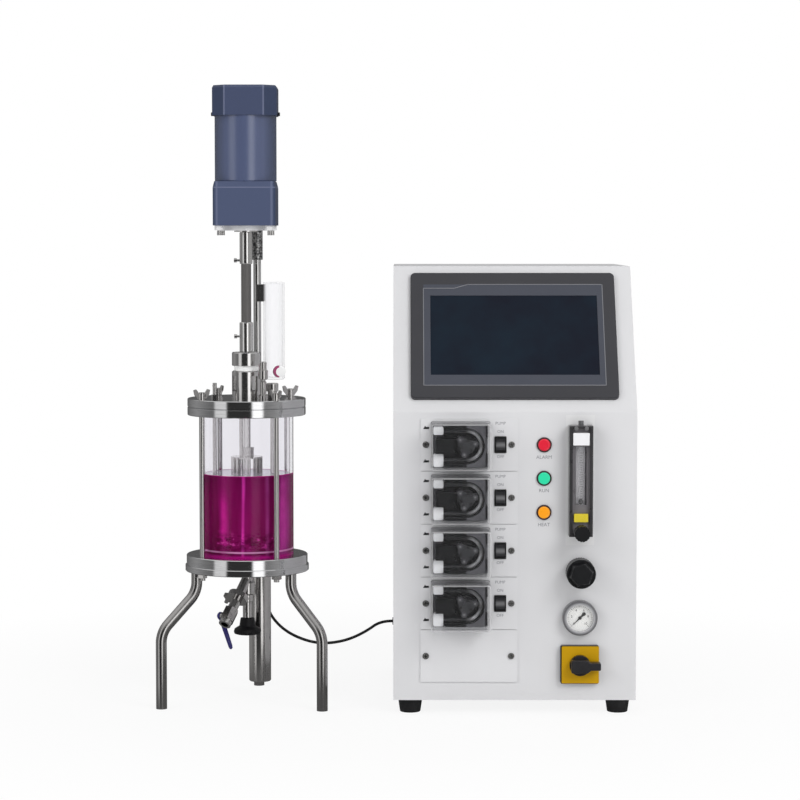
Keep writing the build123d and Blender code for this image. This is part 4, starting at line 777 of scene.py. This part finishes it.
def makeCultureFinish(inner, base, top):
    paint, here, x, y, z = begin("cultureLiquid")
    drift = paint.noise(paint.stretched(here, (1, 1, 0.1)), 60.0, 3.0)
    fade = paint.noise(here, 30.0, 2.0)
    mottle = paint.noise(paint.stretched(here, (1, 1, 1.6)), 90.0, 3.0)
    colour = paint.mix(paint.remap(drift, 0.35, 0.65), rgb(120, 13, 76), rgb(143, 22, 97))
    # streaks of painted light, standing for reflections and light shining through the liquid
    for place, half, middle, reach, shade in culture["paintedLightStreaks"]:
        near = abs(x - (vesselAxis.x + place) + (drift - 0.5) * culture["drift"]) / half
        share = paint.remap(near, 0.25, 1.0, 0.95, 0.0) * paint.remap(fade, 0.3, 0.6, 0.45, 1.0)
        share = share * paint.remap(abs(z - middle) / reach, 0.2, 1.2, 1.0, 0.25)
        colour = paint.mix(share, colour, rgb(*shade))
    up = z - base
    reach = culture["bladeReach"]
    blades = paint.between(up, *culture["blades"], culture["bladeFade"])
    blades = blades * paint.remap(abs(x - vesselAxis.x), reach, reach + culture["bladeFade"], 1.0, 0.0)
    brimLow, brimHigh = culture["brim"]
    ring = paint.between(up, *culture["ring"], 0.0003) * paint.remap(fade, 0.3, 0.6, 0.5, 1.0)
    away = paint.vectors("DISTANCE", here, (vesselAxis.x, vesselAxis.y, top))[1]
    surface = (z > top - culture["meniscus"] - 0.00005) * (away < inner - 0.0004)
    # darker patches for the impellers with painted highlights on them, then the foot, ring, brim and surface
    for share, shade in ((blades * paint.remap(mottle, 0.42, 0.5, 0.75, 0.0), (84, 8, 52)),
                         (blades * paint.remap(mottle, 0.58, 0.66, 0.0, 0.7), (236, 70, 184)),
                         (paint.remap(up, *culture["foot"], 0.95, 0.0), (238, 36, 172)),
                         (ring, (255, 172, 232)),
                         (paint.remap(z, top - brimLow, top - brimHigh, 0.0, 0.8), (240, 50, 170)),
                         (surface, culture["surface"])):
        colour = paint.mix(share, colour, rgb(*shade))
    return paint.finish(Base_Color=colour, Metallic=surface * 0.75, Roughness=0.3 - surface * 0.15, IOR=1.05,
                        Transmission_Weight=0.15, Specular_IOR_Level=0.0)


def makeCulture():
    low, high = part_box("culture_medium")
    inner = (high.x - low.x) / 2 + culture["overlap"]
    outline = cultureOutline(inner, low.z, high.z)
    piece = addPiece("cultureLiquid", lambda solid: lathe(solid, vesselAxis, outline),
                     makeCultureFinish(inner, low.z, high.z), replaces=("culture_medium",))
    for face in piece.data.polygons:
        face.use_smooth = True


makeCulture()
print("culture poured")

printInk = moulded("printInk", rgb(40, 40, 42), 0.6)
paleInk = moulded("paleInk", rgb(128, 128, 134), 0.6)
faceFront = Matrix.Rotation(math.pi / 2, 4, "X")


# a place on the cabinet's front, from its left edge, the floor and the panel's face
def onFront(across, up, out):
    return Vector((left + across, front - out, up))


# joins a text, as a thin mesh that faces the front, into the solid
def addText(solid, text, size, at, thick=0.00008):
    curve = bpy.data.curves.new("words", "FONT")
    curve.body, curve.size, curve.extrude = text, size, thick
    curve.align_x, curve.align_y = "CENTER", "CENTER"
    curve.resolution_u = 3
    holder = bpy.data.objects.new("words", curve)
    bpy.context.collection.objects.link(holder)
    mesh = bpy.data.meshes.new_from_object(holder.evaluated_get(bpy.context.evaluated_depsgraph_get()))
    mesh.transform(Matrix.Translation(at) @ faceFront)
    solid.from_mesh(mesh)
    bpy.data.objects.remove(holder)
    bpy.data.curves.remove(curve)
    bpy.data.meshes.remove(mesh)


# runs a node tree once and keeps its result as a plain mesh; its sizes are the tree's named inputs
def grow(name, sizes, build, material):
    tree = bpy.data.node_groups.new(name, "GeometryNodeTree")
    tree.interface.new_socket("Geometry", in_out="OUTPUT", socket_type="NodeSocketGeometry")
    sockets = {}
    for label, value in sizes.items():
        kind = {int: "NodeSocketInt", float: "NodeSocketFloat"}.get(type(value), "NodeSocketVector")
        sockets[label] = tree.interface.new_socket(label, in_out="INPUT", socket_type=kind).identifier
    wires = Paint(name, tree)
    given = wires.node("NodeGroupInput")
    shape = build(wires, dict(zip(sizes, given)))
    real = wires.node("GeometryNodeRealizeInstances", shape)[0]
    painted = wires.node("GeometryNodeSetMaterial", real, Material=material)[0]
    wires.node("NodeGroupOutput", painted)
    holder = bpy.data.objects.new(name, bpy.data.meshes.new(name))
    bpy.context.collection.objects.link(holder)
    modifier = holder.modifiers.new(name, "NODES")
    modifier.node_group = tree
    for label, identifier in sockets.items():
        modifier[identifier] = sizes[label]
    mesh = bpy.data.meshes.new_from_object(holder.evaluated_get(bpy.context.evaluated_depsgraph_get()))
    holder.modifiers.remove(modifier)
    holder.data = mesh
    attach(holder, rootBody)


# a row of points and each one's number in it
def markRow(wires, *line):
    return wires.node("GeometryNodeMeshLine", *line)[0], wires.node("GeometryNodeInputIndex")[0]


# 1 on every fifth point of a row, 0 on the others
def everyFifth(wires, index):
    return wires.maths("MODULO", index, 5.0) < 0.5


# a shape on every point
def setOn(wires, points, shape, turn=(0, 0, 0), size=(1, 1, 1)):
    return wires.node("GeometryNodeInstanceOnPoints", points, True, shape, False, 0, turn, size)[0]


# dial: a white disc, ticks over three quarters of a turn, and numbers inside them
dial = {"up": 0.1236, "out": 0.00655, "radius": 0.0169, "thick": 0.0003, "ticks": 31, "first": 225.0,
        "sweep": 270.0, "ring": 0.0148, "tick": (0.0016, 0.0001, 0.00028), "numbers": 6, "numberRing": 0.0104,
        "numberSize": 0.0042}


def makeDial():
    centre = onFront(deviceAcross, dial["up"], dial["out"] + dial["thick"] / 2)
    face = onFront(deviceAcross, dial["up"], dial["out"] + dial["thick"])

    def disc(solid):
        bmesh.ops.create_cone(solid, cap_ends=True, segments=96, radius1=dial["radius"],
                              radius2=dial["radius"], depth=dial["thick"],
                              matrix=Matrix.Translation(centre) @ faceFront)

    addPiece("dialFace", disc, moulded("dialWhite", rgb(232, 232, 230), 0.5))

    def ticks(wires, size):
        points, index = markRow(wires, size["Count"])
        fifth = everyFifth(wires, index)
        turn = size["First"] - index * size["Step"]
        cosine, sine = wires.maths("COSINE", turn), wires.maths("SINE", turn)
        place = wires.node("ShaderNodeCombineXYZ", cosine * size["Ring"], 0.0, sine * size["Ring"])[0]
        placed = wires.node("GeometryNodeSetPosition", points, True, place, size["Centre"])[0]
        longer = wires.node("ShaderNodeCombineXYZ", 1.0 + fifth * 0.5, 1.0, 1.0 + fifth * 0.8)[0]
        cube = wires.node("GeometryNodeMeshCube", size["Tick"])[0]
        spin = wires.node("ShaderNodeCombineXYZ", 0.0, 0.0 - turn, 0.0)[0]
        return setOn(wires, placed, cube, spin, longer)

    grow("dialTicks", {"Count": dial["ticks"], "First": math.radians(dial["first"]),
                       "Step": math.radians(dial["sweep"] / (dial["ticks"] - 1)), "Ring": dial["ring"],
                       "Centre": tuple(face), "Tick": dial["tick"]}, ticks, printInk)

    def numbers(solid):
        for k in range(dial["numbers"]):
            turn = math.radians(dial["first"] - dial["sweep"] * k / (dial["numbers"] - 1))
            aside = Vector((math.cos(turn), 0, math.sin(turn))) * dial["numberRing"]
            addText(solid, str(2 * k), dial["numberSize"], face + aside)

    addPiece("dialNumbers", numbers, printInk)


makeDial()


# graduations on the flow tube, every fifth one longer
scale = {"low": 0.2755, "out": 0.01962, "count": 20, "step": (0.0, 0.0, 0.003),
         "mark": (0.0028, 0.00012, 0.0003)}


def makeScale():
    def marks(wires, size):
        points, index = markRow(wires, size["Count"], 1.0, size["Start"], size["Step"])
        longer = wires.node("ShaderNodeCombineXYZ", 1.0 + everyFifth(wires, index) * 0.7, 1.0, 1.0)[0]
        return setOn(wires, points, wires.node("GeometryNodeMeshCube", size["Mark"])[0], size=longer)

    start = onFront(deviceAcross, scale["low"], scale["out"])
    grow("flowScale", {"Count": scale["count"], "Start": tuple(start), "Step": scale["step"],
                       "Mark": scale["mark"]}, marks, printInk)


makeScale()


# flow arrows beside the two hose ends of every pump: a three-sided prism and a bar
arrows = {"across": 0.0418, "aside": 0.021, "out": 0.00205, "count": 8, "head": 0.0029, "thick": 0.0002,
          "headShift": (-0.0018, 0.0, 0.0), "tail": (0.0042, 0.0002, 0.0026), "tailShift": (0.001, 0.0, 0.0)}


def makeArrows():
    def heads(wires, size):
        points, index = markRow(wires, size["Count"])
        pump = wires.maths("FLOOR", index / 2.0)
        side = (index - pump * 2.0) * 2.0 - 1.0
        rise = 0.0 - (pump + 0.5) * size["Pitch"] - side * size["Aside"]
        place = wires.node("ShaderNodeCombineXYZ", 0.0, 0.0, rise)[0]
        placed = wires.node("GeometryNodeSetPosition", points, True, place, size["Start"])[0]
        prism = wires.node("GeometryNodeMeshCylinder", 3, 1, 1, size["Head"], size["Thick"])[0]
        head = wires.node("GeometryNodeTransform", prism, Translation=arrows["headShift"],
                          Rotation=(math.pi / 2, -math.pi / 2, 0.0))[0]
        bar = wires.node("GeometryNodeMeshCube", size["Tail"])[0]
        tail = wires.node("GeometryNodeTransform", bar, Translation=arrows["tailShift"])[0]
        whole = wires.node("GeometryNodeJoinGeometry", tail)[0]
        wires.feed(whole.socket.node.inputs[0], head)
        return setOn(wires, placed, whole)

    start = onFront(arrows["across"], plates["top"], arrows["out"])
    grow("flowArrows", {"Count": arrows["count"], "Pitch": plates["pitch"], "Aside": arrows["aside"],
                        "Start": tuple(start), "Head": arrows["head"], "Thick": arrows["thick"],
                        "Tail": arrows["tail"]}, heads, printInk)


makeArrows()

# the words above and below each rocker, from its middle, and under the lamps, from the floor
words = {"rocker": 0.1345, "rockerSize": 0.0052, "rockerOut": 0.00203,
         "rockerWords": [("PUMP", 0.0267), ("ON", 0.0163), ("OFF", -0.0153)],
         "lamp": 0.1893, "lampSize": 0.0062, "lampOut": 0.00003,
         "lampWords": [("ALARM", 0.3255), ("RUN", 0.2834), ("HEAT", 0.2404)]}


def makeWords():
    def lettering(solid):
        for k in range(4):
            middle = plates["top"] - plates["pitch"] * (k + 0.5)
            for text, rise in words["rockerWords"]:
                at = onFront(words["rocker"], middle + rise, words["rockerOut"])
                addText(solid, text, words["rockerSize"], at)
        for text, height in words["lampWords"]:
            addText(solid, text, words["lampSize"], onFront(words["lamp"], height, words["lampOut"]))

    addPiece("panelWords", lettering, paleInk)


makeWords()


# thin raised line round the touch panel's face, stepping down at its top left; its runs lap at the corners
def makeInset():
    low, high, step = panel["low"], panel["high"], panel["high"] - panel["step"]
    path = [(panel["left"], low), (panel["right"], low), (panel["right"], high), (panel["stepTo"], high),
            (panel["stepFrom"], step), (panel["left"], step)]

    def strips(solid):
        half = panel["line"] / 2
        for (x0, z0), (x1, z1) in zip(path, path[1:] + path[:1]):
            run = math.hypot(x1 - x0, z1 - z0)
            along = Vector(((x1 - x0) / run, (z1 - z0) / run))
            aside = Vector((-along.y, along.x)) * half
            ends = [Vector((x0, z0)) - along * half, Vector((x1, z1)) + along * half]
            flat = [ends[0] - aside, ends[1] - aside, ends[1] + aside, ends[0] + aside]
            rings = [[solid.verts.new(onSlope(p.x, p.y, panel["face"] + out)) for p in flat]
                     for out in (0.00001, panel["proud"])]
            solid.faces.new(rings[0][::-1])
            solid.faces.new(rings[1])
            for k in range(4):
                n = (k + 1) % 4
                solid.faces.new((rings[0][k], rings[0][n], rings[1][n], rings[1][k]))

    addPiece("insetLine", strips, moulded("insetGrey", rgb(112, 113, 118), 0.4))


makeInset()

# a thin plate behind the flow meter
backing = {"width": 0.036, "low": 0.2145, "high": 0.3785, "thick": 0.0006, "off": 0.00001}


def makeBacking():
    def plate(solid):
        low = onFront(deviceAcross - backing["width"] / 2, backing["low"], backing["thick"])
        high = onFront(deviceAcross + backing["width"] / 2, backing["high"], backing["off"])
        for vert in bmesh.ops.create_cube(solid, size=1.0)["verts"]:
            vert.co = [low[k] + (vert.co[k] + 0.5) * (high[k] - low[k]) for k in range(3)]

    addPiece("meterBacking", plate, plateCoat)


makeBacking()
print("marks, dial and scale made")

# floor, lamps and surroundings: the bands are what steel mirrors, as degrees round the object from its front
# and their brightness, and the lamps are name, place, aim, size and power
studio = {
    "ambient": 0.62,
    "floorHalf": 40.0,
    "floorGlow": 0.88,
    "floorBrightens": (0.4, 0.9),
    "floorSeenInMetal": 0.16,
    "floorEndsInMetal": (0.3, 0.5),
    "aboveSeenInMetal": 0.8,
    "aboveStarts": (0.35, 0.8),
    "bands": [(-180, 0.1), (-160, 0.14), (-110, 0.34), (-64, 0.17), (-59, 0.85), (-38, 0.9), (-34, 0.04),
              (12, 0.04), (16, 1.6), (33, 1.6), (38, 0.24), (66, 0.38), (120, 0.34), (160, 0.14), (180, 0.1)],
    "lamps": [
        ("keyLamp", (1.9, -2.6, 2.1), (0.1, 0.0, 0.35), 1.6, 46.0),
        ("fillLamp", (-2.4, -2.2, 1.5), (-0.1, 0.0, 0.35), 1.6, 20.0),
    ],
}


def makeStage():
    floorMesh = bpy.data.meshes.new("floor")
    half = studio["floorHalf"]
    corners = [(-half, -half, 0), (half, -half, 0), (half, half, 0), (-half, half, 0)]
    floorMesh.from_pydata(corners, [], [(0, 1, 2, 3)])
    floor = bpy.data.objects.new("floor", floorMesh)
    bpy.context.collection.objects.link(floor)
    paint = Paint("floorPaper")
    rays = paint.node("ShaderNodeLightPath")
    cameraRay, glossyRay, throughRay = rays[0], rays[3], rays[6]
    away = paint.vectors("LENGTH", paint.place())[1]
    matte = paint.node("ShaderNodeBsdfDiffuse", (0.93, 0.93, 0.93, 1.0))[0]
    glow = paint.node("ShaderNodeEmission", (1, 1, 1, 1), 1.0)[0]
    dim = paint.node("ShaderNodeEmission", (1, 1, 1, 1), studio["floorSeenInMetal"])[0]
    fade = paint.remap(away, *studio["floorBrightens"], studio["floorGlow"], 1.0)
    seen = paint.blend(paint.maths("MAXIMUM", cameraRay, throughRay) * fade, matte, glow)
    beyond = paint.node("ShaderNodeBsdfTransparent")[0]
    mirrored = paint.blend(paint.remap(away, *studio["floorEndsInMetal"]), dim, beyond)
    floorMesh.materials.append(paint.output(paint.blend(glossyRay * (1.0 - throughRay), seen, mirrored)))


def makeWorld():
    world = bpy.data.worlds.new("studio")
    world.use_nodes = True
    bpy.context.scene.world = world
    paint = Paint("studio", world.node_tree)
    rays = paint.node("ShaderNodeLightPath")
    cameraRay, glossyRay, throughRay = rays[0], rays[3], rays[6]
    x, y, z = paint.axes(paint.node("ShaderNodeTexCoord")[0])
    share = paint.remap(paint.maths("ARCTAN2", x, 0.0 - y), -math.pi, math.pi)
    most = 2.0  # the ramp's brightnesses are shares of this
    greys = [((turn + 180) / 360, (grey / most,) * 3 + (1,)) for turn, grey in studio["bands"]]
    overhead = (studio["aboveSeenInMetal"] / most,) * 3 + (1,)
    above = paint.remap(z, *studio["aboveStarts"])
    mirrored = paint.mix(above, paint.ramp(share, greys), overhead)
    plain = paint.node("ShaderNodeBackground", (1, 1, 1, 1), studio["ambient"])[0]
    metal = paint.node("ShaderNodeBackground", mirrored, most)[0]
    white = paint.node("ShaderNodeBackground", (1, 1, 1, 1), 1.0)[0]
    lit = paint.blend(glossyRay, plain, metal)
    seen = paint.blend(paint.maths("MAXIMUM", cameraRay, throughRay), lit, white)
    paint.node("ShaderNodeOutputWorld", seen)


def makeLamp(name, at, aim, size, power):
    data = bpy.data.lights.new(name, "AREA")
    data.shape, data.size, data.energy = "SQUARE", size, power
    lamp = bpy.data.objects.new(name, data)
    lamp.location = at
    lamp.rotation_euler = (Vector(aim) - Vector(at)).to_track_quat("-Z", "Y").to_euler()
    lamp.visible_glossy = False
    bpy.context.collection.objects.link(lamp)


makeStage()
makeWorld()
for lamp in studio["lamps"]:
    makeLamp(*lamp)
print("stage lit")
